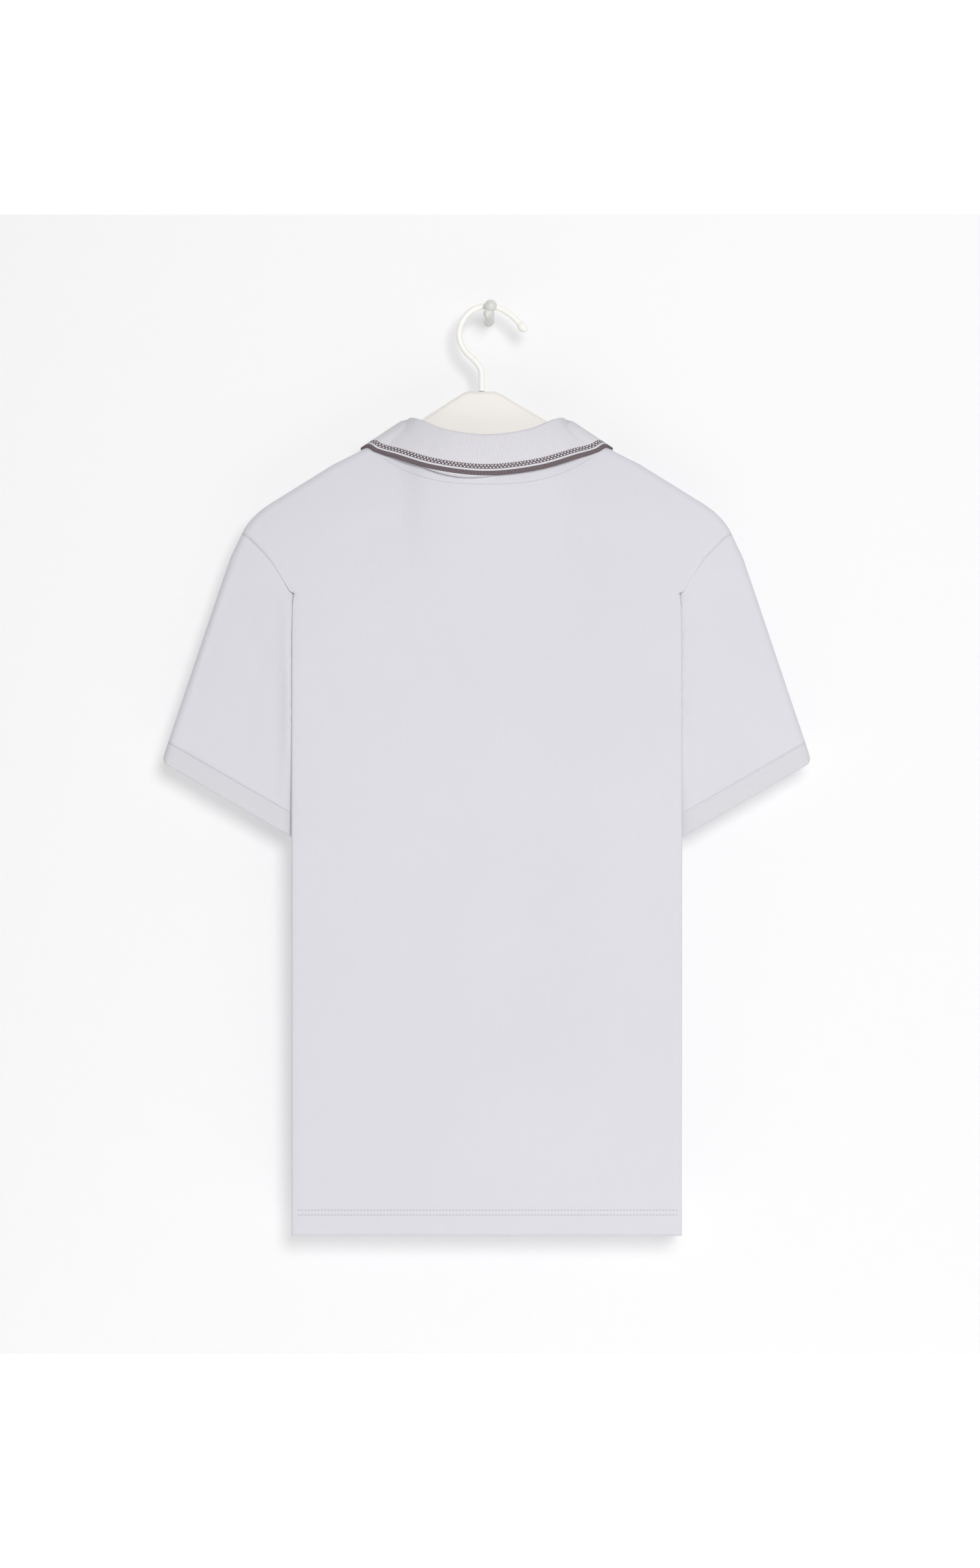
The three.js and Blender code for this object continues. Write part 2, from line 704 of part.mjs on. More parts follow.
// The collar's cross-section at a place along it, as points from the seam up, over the fold and down
function collarSection(fold, edge, t) {
  const angles = COLLAR_STATIONS.map(({ angle }) => angle);
  const scaled = t * (angles.length - 1);
  const i = Math.min(Math.floor(scaled), angles.length - 2);
  const angle = mix(angles[i], angles[i + 1], scaled - i);
  const seam = neckSeam(angle);
  const atShoulder = Math.sin(THREE.MathUtils.degToRad(angle)) ** COLLAR_SEAM_RISE.sharpness;
  const rise = mix(COLLAR_SEAM_RISE.middle, COLLAR_SEAM_RISE.shoulder, atShoulder);
  const axis = fold.getPoint(t);
  const tip = edge.getPoint(t);
  const tangent = fold.getTangent(t);
  const stand = axis.clone().sub(seam).normalize();
  const out = stand.clone().cross(tangent).normalize();
  const up = tangent.clone().cross(out).normalize();
  seam.addScaledVector(stand, rise).addScaledVector(out, -RIB / 2);
  const around = (turn) => axis.clone()
    .addScaledVector(out, COLLAR_FOLD_RADIUS * Math.cos(turn))
    .addScaledVector(up, COLLAR_FOLD_RADIUS * Math.sin(turn));
  const inner = axis.clone().addScaledVector(out, -COLLAR_FOLD_RADIUS);
  return [
    ...STAND_SHARES.map((share) => seam.clone().lerp(inner, share)),
    ...steps(Math.PI, 0, FOLD_TURNS).map(around),
    ...FALL_SHARES.map((share) => around(0).lerp(tip, share)),
  ];
}

// A point of the collar's fall is kept clear of the shirt that it lies on
function clearOfShirt(point, lift) {
  const side = point.y >= 0 ? "back" : "front";
  const sign = point.y >= 0 ? 1 : -1;
  const rim = neckZ(side, Math.min(point.x, NECK_HALF)) + NECK_MARGIN;
  if (point.z > rim && point.x < NECK_HALF - NECK_MARGIN) {
    return point;
  }
  const below = (shoulderZ(point.x) - point.z) / SHOULDER_SLANT;
  if (below >= RIDGE_RADIUS) {
    point.y = sign * Math.max(Math.abs(point.y), bodyY(side, point.x, point.z) + lift);
    return point;
  }
  const fromCore = Math.hypot(RIDGE_RADIUS - below, point.y);
  const scale = Math.max(1, (RIDGE_RADIUS + lift) / fromCore);
  point.y *= scale;
  point.z = shoulderZ(point.x) - (RIDGE_RADIUS - (RIDGE_RADIUS - below) * scale) * SHOULDER_SLANT;
  return point;
}

function collar() {
  const curveOf = (key) => {
    const right = COLLAR_STATIONS.map((station) => new THREE.Vector3(...station[key]));
    const left = right.slice(1).reverse().map(({ x, y, z }) => new THREE.Vector3(-x, y, z));
    return new THREE.CatmullRomCurve3([...left, ...right]);
  };
  const [fold, edge] = [curveOf("fold"), curveOf("edge")];
  const half = (curve) => ({
    getPoint: (t) => curve.getPoint(0.5 + t / 2),
    getTangent: (t) => curve.getTangent(0.5 + t / 2),
  });
  const stretch = (count, i) => steps(i, i + 1, count).slice(i === 0 ? 0 : 1);
  const places = COLLAR_SECTIONS.flatMap(stretch).map((place) => place / COLLAR_SECTIONS.length);
  const sections = places.map((t) => collarSection(half(fold), half(edge), t));
  const across = sections.length - 1;
  const fallFrom = STAND_SHARES.length + FOLD_TURNS;
  const sheet = new Sheet();
  const last = sections[0].length - 1;
  for (const sign of [1, -1]) {
    const at = (i, j) => {
      const point = sections[i][j].clone();
      if (j >= fallFrom) {
        clearOfShirt(point, mix(COLLAR_LIFT.neck, COLLAR_LIFT.edge, (j - fallFrom) / (last - fallFrom)));
      }
      return [sign * point.x, point.y, point.z];
    };
    sheet.block(across, last, (i, j) => at(sign > 0 ? i : across - i, j));
  }
  return finished(sheet.geometry(() => RIB), "collar", COLLAR_CLOTH);
}

function placketStrip(name, halfWidth, proud, bottom) {
  const sheet = new Sheet();
  const { across, up } = PLACKET_CELLS;
  sheet.block(across, up, (i, j) => {
    const x = mix(-halfWidth, halfWidth, i / across);
    const z = mix(bottom, neckZ("front", x), j / up);
    return [x, -(bodyY("front", x, z) + proud), z];
  });
  return finished(sheet.geometry(() => CLOTH), name, SHIRT);
}

function button(z, index) {
  const profile = BUTTON_SECTION.map(({ inward, up }) => new THREE.Vector2(BUTTON_RADIUS - inward, up));
  const geometry = new THREE.LatheGeometry(profile, FACETS.round);
  geometry.rotateX(Math.PI);
  const reach = BUTTON_RADIUS / 2;
  const slope = (bodyY("front", 0, z - reach) - bodyY("front", 0, z + reach)) / (2 * reach);
  geometry.rotateX(-Math.atan(slope));
  geometry.translate(0, -(bodyY("front", 0, z) + PLACKET_PROUD + SEAM_GAP), z);
  return finished(fromManifold(toManifold(geometry)), `button_${index + 1}`, BUTTON);
}

function hangerBody() {
  const outline = [...HANGER_TOP, ...HANGER_BOTTOM];
  const shape = new THREE.Shape(outline.map(({ x, z }) => new THREE.Vector2(x, z)));
  const flat = HANGER_HALF_THICK - HANGER_ROUND;
  const geometry = new THREE.ExtrudeGeometry(shape, {
    depth: 2 * flat,
    bevelThickness: HANGER_ROUND,
    bevelSize: HANGER_ROUND,
    bevelOffset: -HANGER_ROUND,
    bevelSegments: FACETS.bevel,
    curveSegments: 1,
  });
  geometry.translate(0, 0, -flat);
  geometry.rotateX(Math.PI / 2);
  return finished(fromManifold(toManifold(geometry)), "hanger_body", HANGER);
}

function roundSection(radius, sides) {
  const points = steps(0, 2 * Math.PI, sides).slice(0, sides);
  return new THREE.Shape(points.map((a) => new THREE.Vector2(radius * Math.cos(a), radius * Math.sin(a))));
}

function hangerHook() {
  const line = [{ x: HOOK_LINE[0].x, z: HOOK_STEM_Z }, ...HOOK_LINE];
  const curve = new THREE.CatmullRomCurve3(line.map(({ x, z }) => new THREE.Vector3(x, 0, z)));
  const tube = new THREE.ExtrudeGeometry(roundSection(HOOK_RADIUS, FACETS.hook), {
    extrudePath: curve,
    steps: FACETS.hookSteps,
    bevelEnabled: false,
  });
  const tip = new THREE.SphereGeometry(HOOK_TIP_RADIUS, FACETS.ball, FACETS.ball / 2);
  const end = HOOK_LINE[HOOK_LINE.length - 1];
  tip.translate(end.x, 0, end.z);
  return finished(fromManifold(toManifold(tube).add(toManifold(tip))), "hanger_hook", HANGER);
}

function wallPeg() {
  const shank = new THREE.CylinderGeometry(PEG_RADIUS, PEG_RADIUS, PEG_REACH, FACETS.round);
  shank.translate(0, PEG_REACH / 2, 0);
  const nose = new THREE.SphereGeometry(PEG_NOSE_RADIUS, FACETS.round, FACETS.ball);
  nose.translate(0, PEG_REACH, 0);
  const ball = new THREE.SphereGeometry(PEG_BALL.radius, FACETS.round, FACETS.ball);
  ball.translate(PEG_BALL.x, PEG_BALL.y, PEG_BALL.z);
  const solid = toManifold(shank).add(toManifold(nose)).add(toManifold(ball));
  return finished(fromManifold(solid), "wall_peg", PEG);
}

const garment = new THREE.Group();
garment.position.set(GARMENT_X, WALL_TO_MIDDLE, 0);
garment.add(panel("back"), panel("front"), collar());

const sleeveShape = sleeve();
garment.add(finished(sleeveShape, "sleeve_left", SHIRT));
garment.add(finished(mirrored(sleeveShape), "sleeve_right", SHIRT));
const cuffShape = cuff();
garment.add(finished(cuffShape, "cuff_left", RIB_CLOTH));
garment.add(finished(mirrored(cuffShape), "cuff_right", RIB_CLOTH));

const underProud = PLACKET_PROUD - CLOTH - SEAM_GAP;
garment.add(placketStrip("placket_top", PLACKET_WIDTH / 2, PLACKET_PROUD, PLACKET_END_Z + SEAM_GAP));
garment.add(placketStrip("placket_under", PLACKET_WIDTH / 2 - 1, underProud, PLACKET_END_Z + 1));
BUTTON_Z.forEach((z, index) => garment.add(button(z, index)));
garment.add(hangerBody(), hangerHook());

const root = new THREE.Group();
root.add(garment, wallPeg());

export default root;
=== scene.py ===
"""A polo shirt that hangs from a wall peg on a plain hanger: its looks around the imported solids."""

import logging
import math
from collections.abc import Callable, Sequence
from dataclasses import dataclass, field
from enum import Enum
from functools import cached_property

import bmesh
import bpy
from mathutils import Matrix, Vector

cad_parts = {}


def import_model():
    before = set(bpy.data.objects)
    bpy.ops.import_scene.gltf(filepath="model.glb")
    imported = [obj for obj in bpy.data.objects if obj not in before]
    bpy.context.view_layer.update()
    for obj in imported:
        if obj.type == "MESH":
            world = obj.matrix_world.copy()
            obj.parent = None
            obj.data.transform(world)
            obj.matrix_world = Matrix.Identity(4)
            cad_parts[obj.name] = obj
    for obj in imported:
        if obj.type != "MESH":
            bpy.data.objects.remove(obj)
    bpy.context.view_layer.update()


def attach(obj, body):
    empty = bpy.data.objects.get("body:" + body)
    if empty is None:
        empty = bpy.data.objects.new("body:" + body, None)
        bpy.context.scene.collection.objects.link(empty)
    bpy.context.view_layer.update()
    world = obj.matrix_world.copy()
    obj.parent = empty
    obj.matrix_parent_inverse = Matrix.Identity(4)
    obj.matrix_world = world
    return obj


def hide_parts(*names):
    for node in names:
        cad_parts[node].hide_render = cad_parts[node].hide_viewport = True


LOG = logging.getLogger("polo_shirt")
MM = 0.001
SAME_SPOT = 1e-6
JOINS_WITHIN = 2e-5
GARMENT_X = 2.0
WALL_TO_MIDDLE = 38.0
BODY = "root"

Point = tuple[float, float, float]
Place = Callable[[float, float], Point]
Flat = Callable[[float, float], tuple[float, float]]
Keep = Callable[[float, float], bool]


class Side(Enum):
    """The two faces of the shirt and the way each one looks along y."""

    BACK = 1
    FRONT = -1


class Slot(Enum):
    """The material slots."""

    SHIRT = "shirt_cloth"
    RIB = "rib_cloth"
    COLLAR = "collar_rib"
    BUTTON = "button"
    HANGER = "hanger"
    PEG = "peg"


def mix(a: float, b: float, t: float) -> float:
    """The value a share t of the way from a to b."""
    return a + (b - a) * t


def between(a: Sequence[float], b: Sequence[float], t: float) -> tuple[float, float]:
    """The point a share t of the way from a to b."""
    return mix(a[0], b[0], t), mix(a[1], b[1], t)


def clamp(value: float, low: float = 0.0, high: float = 1.0) -> float:
    """The value kept between two limits."""
    return max(low, min(high, value))


def smooth_step(value: float) -> float:
    """A soft rise from 0 to 1."""
    t = clamp(value)
    return t * t * (3 - 2 * t)


def steps(start: float, end: float, count: int) -> list[float]:
    """Even steps from one value to another, both ends included."""
    return [mix(start, end, i / count) for i in range(count + 1)]


def joined(*runs: Sequence[float]) -> list[float]:
    """Runs of values that share their ends, as one run."""
    return [*runs[0], *(value for run in runs[1:] for value in run[1:])]


def round_edge(distance: float, radius: float) -> float:
    """The height of a quarter round at a distance from its edge."""
    inside = min(distance, radius)
    return math.sqrt(max(0.0, radius**2 - (radius - inside) ** 2))


def in_frame(point: Sequence[float]) -> Vector:
    """A garment point in millimetres as a frame point in metres."""
    x, y, z = point
    return Vector(((x + GARMENT_X) * MM, (y + WALL_TO_MIDDLE) * MM, z * MM))


def linear(red: int, green: int, blue: int) -> tuple[float, float, float, float]:
    """A screen colour from 0 to 255 as a linear colour."""

    def channel(value: int) -> float:
        share = value / 255
        return share / 12.92 if share <= 0.04045 else ((share + 0.055) / 1.055) ** 2.4

    return channel(red), channel(green), channel(blue), 1.0


@dataclass(frozen=True)
class Path:
    """A polyline of (x, z) rows that can be sampled by its length."""

    rows: tuple[tuple[float, float], ...]

    @cached_property
    def at(self) -> list[float]:
        """The distance along the line at each of its rows."""
        found = [0.0]
        for a, b in zip(self.rows, self.rows[1:]):
            found.append(found[-1] + math.dist(a, b))
        return found

    @property
    def length(self) -> float:
        """The whole line's length."""
        return self.at[-1]

    def point(self, distance: float) -> tuple[float, float]:
        """The point at a distance along the line."""
        along = clamp(distance, 0.0, self.length)
        i = 1
        while i < len(self.rows) - 1 and self.at[i] < along:
            i += 1
        t = (along - self.at[i - 1]) / (self.at[i] - self.at[i - 1])
        return between(self.rows[i - 1], self.rows[i], t)

    def distance_to(self, x: float, z: float) -> float:
        """The shortest distance from a point to the line."""
        best = math.inf
        for (ax, az), (bx, bz) in zip(self.rows, self.rows[1:]):
            dx, dz = bx - ax, bz - az
            t = clamp(((x - ax) * dx + (z - az) * dz) / (dx * dx + dz * dz))
            best = min(best, math.hypot(x - ax - t * dx, z - az - t * dz))
        return best


@dataclass(frozen=True)
class Curve:
    """A smooth curve through points, with centripetal spacing."""

    points: tuple[Vector, ...]

    def point(self, t: float) -> Vector:
        """The curve's point at a share t of its stretches."""
        last = len(self.points) - 1
        place = clamp(t) * last
        i = min(int(place), last - 1)
        weight = place - i
        p1, p2 = self.points[i], self.points[i + 1]
        p0 = self.points[i - 1] if i > 0 else 2 * p1 - p2
        p3 = self.points[i + 2] if i + 2 <= last else 2 * p2 - p1
        d0, d1, d2 = (math.sqrt((b - a).length) for a, b in ((p0, p1), (p1, p2), (p2, p3)))
        m1 = ((p1 - p0) / d0 - (p2 - p0) / (d0 + d1) + (p2 - p1) / d1) * d1
        m2 = ((p2 - p1) / d1 - (p3 - p1) / (d1 + d2) + (p3 - p2) / d2) * d1
        square = -3 * p1 + 3 * p2 - 2 * m1 - m2
        cube = 2 * p1 - 2 * p2 + m1 + m2
        return p1 + m1 * weight + square * weight**2 + cube * weight**3

    def tangent(self, t: float) -> Vector:
        """The curve's direction at a share t of its stretches."""
        return (self.point(t + 1e-4) - self.point(t - 1e-4)).normalized()


@dataclass(frozen=True)
class Neck:
    """The neckline of one panel."""

    z: float
    curve: float
    bulge: float
    fade: float


@dataclass(frozen=True)
class Crease:
    """A soft trough or ridge of cloth along a straight line, both ends faded."""

    start: tuple[float, float]
    end: tuple[float, float]
    width: float
    height: float
    fades: float = 3.2

    def rise(self, x: float, z: float) -> float:
        """How far the crease lifts the cloth at a point."""
        dx, dz = self.end[0] - self.start[0], self.end[1] - self.start[1]
        length = math.hypot(dx, dz)
        along = ((x - self.start[0]) * dx + (z - self.start[1]) * dz) / length
        across = ((x - self.start[0]) * dz - (z - self.start[1]) * dx) / length
        share = clamp(along / length)
        over = along - share * length
        ends = smooth_step(share * self.fades) * smooth_step((1 - share) * self.fades)
        return self.height * ends * math.exp(-((across / self.width) ** 2) - (over / self.width) ** 2)


@dataclass(frozen=True)
class ShirtForm:
    """The shirt's form: where each point of the flat cut hangs, in garment millimetres."""

    seam_gap: float = 0.3
    close_gap: float = 0.1
    cloth: float = 1.2
    rib: float = 1.7
    hem_z: float = -844.0
    hem_turn_z: float = -822.0
    fold_x: float = 178.5
    fold_top_z: float = -257.0
    half_cut: float = 260.0
    armpit_z: float = -397.0
    fold_radius: float = 2.6
    fold_radius_top: float = 1.45
    fold_opens_over: float = 45.0
    ridge_radius: float = 8.0
    fullness_length: float = 40.0
    neck_half: float = 86.0
    bulge_shape: float = 0.75
    bulge_fades: float = 0.35
    shoulder_fall: float = 0.61
    groove_start: float = 1.0
    groove_shape: float = 0.55
    creases_from_fold: float = 14.0
    creases_from_hem: float = 40.0
    creases_from_placket: float = 25.0
    creases_below_neck: tuple[float, float] = (25.0, 50.0)
    placket_width: float = 31.0
    placket_end_z: float = -350.0
    depth_rows: tuple[tuple[float, float], ...] = (
        (-900, 13), (-844, 13), (-600, 15.5), (-400, 16.5), (0, 16.5),
    )
    shoulder: tuple[tuple[float, float], ...] = (
        (0, -55.1), (86, -107), (118, -126.3), (140, -137.2), (201, -175),
    )
    shoulder_round: tuple[tuple[float, float], ...] = ((209, -181), (217, -189), (223, -197.5), (225, -202))
    sleeve_outer_end: tuple[float, float] = (292.6, -393.2)
    sleeve_under_end: tuple[float, float] = (152.3, -473.3)
    sleeve_bulge_at: float = 0.11
    sleeve_bulge: float = 2.7
    cuff_outer_end: tuple[float, float] = (298.3, -410.6)
    cuff_under_end: tuple[float, float] = (161.5, -489.4)
    armhole: tuple[tuple[float, float], ...] = (
        (225, -202), (218.7, -205.5), (211.3, -212.7), (203.8, -220), (196.3, -229), (187.5, -242.7),
        (178.5, -257),
    )
    necks: dict[Side, Neck] = field(
        default_factory=lambda: {Side.BACK: Neck(-145, 2.5, 10.5, 75), Side.FRONT: Neck(-192, 2.2, 7, 90)}
    )
    creases: tuple[Crease, ...] = (
        Crease((-30, -270), (-60, -780), 34, -0.9),
        Crease((95, -330), (120, -760), 42, 0.8),
        Crease((20, -420), (10, -800), 30, 0.6),
        Crease((-120, -330), (-105, -700), 30, 0.7),
        Crease((150, -262), (70, -330), 11, 0.7),
        Crease((-150, -262), (-66, -322), 12, 0.7),
        Crease((166, -300), (120, -420), 12, -0.6),
        Crease((-166, -305), (-128, -430), 13, -0.6),
        Crease((70, -165), (165, -205), 12, 0.5),
        Crease((-70, -165), (-165, -208), 12, 0.5),
        Crease((-150, -560), (-90, -690), 18, 0.5),
        Crease((60, -600), (150, -730), 20, -0.5),
    )

    @cached_property
    def ridge(self) -> Path:
        """The top outline of shirt and sleeve, from the middle out and down past the cuff."""
        beyond = between(self.sleeve_outer_end, self.cuff_outer_end, 3)
        bend = self.sleeve_outer(self.sleeve_bulge_at)
        return Path((*self.shoulder, *self.shoulder_round, bend, self.sleeve_outer_end, beyond))

    def outer_bulge(self, v: float) -> float:
        """How far the sleeve's outer line stands out from straight, at a share of its length."""
        return self.sleeve_bulge * min(v / self.sleeve_bulge_at, (1 - v) / (1 - self.sleeve_bulge_at))

    def sleeve_outer(self, v: float) -> tuple[float, float]:
        """A point of the sleeve's outer line."""
        x, z = between(self.shoulder_round[-1], self.sleeve_outer_end, v)
        return x + self.outer_bulge(v), z

    @property
    def slant(self) -> float:
        """How much longer the shoulder line is than its width."""
        return math.hypot(1, self.shoulder_fall)

    @property
    def flat_fold(self) -> float:
        """How far from the middle the side starts to turn."""
        return self.fold_x - self.fold_radius

    @property
    def gusset_start(self) -> float:
        """The flat distance from the middle where the tuck starts."""
        return self.flat_fold + math.pi * self.fold_radius

    @property
    def side_seam_x(self) -> float:
        """Where the side seam lies inside the tuck."""
        return self.flat_fold - (self.half_cut - self.gusset_start)

    def shoulder_z(self, x: float) -> float:
        """The shoulder line's height at a distance from the middle."""
        for (ax, az), (bx, bz) in zip(self.shoulder, self.shoulder[1:]):
            if bx >= x:
                break
        return mix(az, bz, (x - ax) / (bx - ax))

    def neck_z(self, side: Side, x: float) -> float:
        """The neckline's height at a distance from the middle."""
        neck = self.necks[side]
        return neck.z + (self.shoulder_z(self.neck_half) - neck.z) * (abs(x) / self.neck_half) ** neck.curve

    def depth(self, z: float) -> float:
        """How far the full cloth stands from the middle plane at a height."""
        for (az, a), (bz, b) in zip(self.depth_rows, self.depth_rows[1:]):
            if z <= bz:
                return mix(a, b, clamp((z - az) / (bz - az)))
        return self.depth_rows[-1][1]

    def body_y(self, side: Side, x: float, z: float) -> float:
        """How far the outer face stands from the middle plane, before its creases."""
        along = abs(x)
        from_ridge = self.ridge.distance_to(along, z)
        plateau = self.depth(z) - self.ridge_radius
        fullness = 1 - math.exp(-max(0.0, from_ridge - self.ridge_radius) / self.fullness_length)
        neck = self.necks[side]
        share = along / self.neck_half
        across = max(0.0, 1 - share**2) ** self.bulge_shape * smooth_step((1 - share) / self.bulge_fades)
        down = max(0.0, self.neck_z(side, along) - z) / neck.fade
        bulge = neck.bulge * across * math.exp(-down * down)
        return round_edge(from_ridge, self.ridge_radius) + plateau * fullness + bulge

    def crease(self, side: Side, x: float, z: float) -> float:
        """The lift of all creases at a point, none at the edges, collar and placket."""
        mirrored = x * side.value
        fold = smooth_step((self.flat_fold - abs(x)) / self.creases_from_fold)
        edge = fold * smooth_step((z - self.hem_turn_z) / self.creases_from_hem)
        clear, over = self.creases_below_neck
        near_neck = smooth_step((self.neck_z(side, min(abs(x), self.neck_half)) - z - clear) / over)
        placket = smooth_step((abs(x) - self.placket_width) / self.creases_from_placket)
        middle = 1.0 if side is Side.BACK else placket
        return edge * near_neck * middle * sum(crease.rise(mirrored, z) for crease in self.creases)

    def fold_turn(self, z: float) -> float:
        """The radius of the side fold at a height."""
        opened = smooth_step((self.fold_top_z - z) / self.fold_opens_over)
        return mix(self.fold_radius_top, self.fold_radius, opened)

    def groove_y(self, side: Side, x: float, z: float) -> float:
        """The tuck's outer face, facing the groove between the two tucks of a side."""
        edge = self.body_y(side, self.flat_fold, z) - 2 * self.fold_turn(z)
        start = self.groove_start
        t = clamp((x - self.side_seam_x - start) / (self.flat_fold - self.side_seam_x - start))
        return mix(self.seam_gap / 2, edge, t**self.groove_shape)

    def beside_fold(self, side: Side, x: float, z: float) -> float:
        """The highest that another cloth can lie under the fold or against its round edge."""
        turn = self.fold_turn(z)
        middle = self.body_y(side, self.flat_fold, z) - turn
        if x <= self.flat_fold:
            return self.groove_y(side, x, z) - self.close_gap
        over = x - self.flat_fold
        round_off = turn + self.close_gap
        return middle - math.sqrt(max(0.0, round_off**2 - over**2)) if over < round_off else math.inf

    def armhole_z(self, p: float) -> float:
        """The armhole's height in the flat cut, beyond the fold."""
        t = clamp((p - self.flat_fold) / (self.half_cut - self.flat_fold))
        return self.fold_top_z + (self.armpit_z - self.fold_top_z) * math.sin(t * math.pi / 2)

    def fold_body(self, side: Side, p: float, z: float) -> Point:
        """Where a point of the flat cut lies on the folded shirt; p may be negative."""
        way = math.copysign(1.0, p)
        across = abs(p)
        if across <= self.flat_fold or z > self.fold_top_z:
            return p, side.value * (self.body_y(side, p, z) + self.crease(side, p, z)), z
        if across < self.gusset_start:
            radius = self.fold_turn(z)
            turn = (across - self.flat_fold) / (self.gusset_start - self.flat_fold) * math.pi
            y = self.body_y(side, self.flat_fold, z) - radius + radius * math.cos(turn)
            return way * (self.flat_fold + radius * math.sin(turn)), side.value * y, z
        x = self.flat_fold - (across - self.gusset_start)
        return way * x, side.value * self.groove_y(side, x, z), z


class SheetMesh:
    """A sheet of cloth made from grids, with its flat cut in metres as the UV map."""

    def __init__(self, name: str) -> None:
        self.name = name
        self.bm = bmesh.new()
        self.uv = self.bm.loops.layers.uv.new("cloth")

    def patch(
        self,
        columns: Sequence[float],
        rows: Sequence[float],
        place: Place,
        flat: Flat,
        flip: bool = False,
        keep: Keep | None = None,
    ) -> None:
        """Adds one grid of cloth.

        Args:
            columns: The values of the grid's columns.
            rows: The values of its rows.
            place: Gives a garment point for a column and a row.
            flat: Gives the flat cut's millimetres for a column and a row.
            flip: Whether the faces look the other way.
            keep: Says whether the cell round a column and a row is cloth.
        """
        across, up = len(columns) - 1, len(rows) - 1
        made = bmesh.ops.create_grid(self.bm, x_segments=across, y_segments=up, size=1.0)["verts"]
        spots = {
            vert: (columns[round((vert.co.x + 1) / 2 * across)], rows[round((vert.co.y + 1) / 2 * up)])
            for vert in made
        }
        faces = {face for vert in made for face in vert.link_faces}
        for face in faces:
            for loop in face.loops:
                u, v = flat(*spots[loop.vert])
                loop[self.uv].uv = (u * MM, v * MM)
        for vert, (column, row) in spots.items():
            vert.co = in_frame(place(column, row))
        if flip:
            bmesh.ops.reverse_faces(self.bm, faces=list(faces))
        if keep:
            middles = {
                face: [sum(spots[vert][axis] for vert in face.verts) / len(face.verts) for axis in (0, 1)]
                for face in faces
            }
            gone = [face for face, middle in middles.items() if not keep(*middle)]
            bmesh.ops.delete(self.bm, geom=gone, context="FACES")

    def flat_area(self) -> float:
        """The cut's area in square metres, from the UV map."""
        total = 0.0
        for face in self.bm.faces:
            corners = [loop[self.uv].uv for loop in face.loops]
            turned = zip(corners, [*corners[1:], corners[0]])
            total += abs(sum(a.x * b.y - b.x * a.y for a, b in turned)) / 2
        return total

    def finished(self, thickness: float, materials: Sequence[bpy.types.Material]) -> bpy.types.Object:
        """Joins the grids and gives the cloth its thickness behind the outer face.

        Args:
            thickness: The wall in millimetres.
            materials: The outer face's material and, as a second one, the inner face's.
        """
        bmesh.ops.remove_doubles(self.bm, verts=self.bm.verts, dist=JOINS_WITHIN)
        obj = mesh_object(self.name, self.bm, materials)
        wall = obj.modifiers.new("wall", "SOLIDIFY")
        wall.thickness = thickness * MM
        wall.offset = -1
        wall.use_rim = True
        if len(materials) > 1:
            wall.material_offset = 1
        return obj


def mesh_object(
    name: str, bm: bmesh.types.BMesh, materials: Sequence[bpy.types.Material]
) -> bpy.types.Object:
    """A smooth-shaded object from a finished bmesh."""
    mesh = bpy.data.meshes.new(name)
    bm.to_mesh(mesh)
    bm.free()
    mesh.shade_smooth()
    for material in materials:
        mesh.materials.append(material)
    obj = bpy.data.objects.new(name, mesh)
    bpy.context.scene.collection.objects.link(obj)
    return obj


def dress(obj: bpy.types.Object, slot: Slot, *nodes: str) -> bpy.types.Object:
    """Puts a piece on the body and hides the solids that it stands for."""
    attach(obj, BODY)
    if nodes:
        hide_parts(*nodes)
    LOG.info("piece %s", obj.name)
    return obj


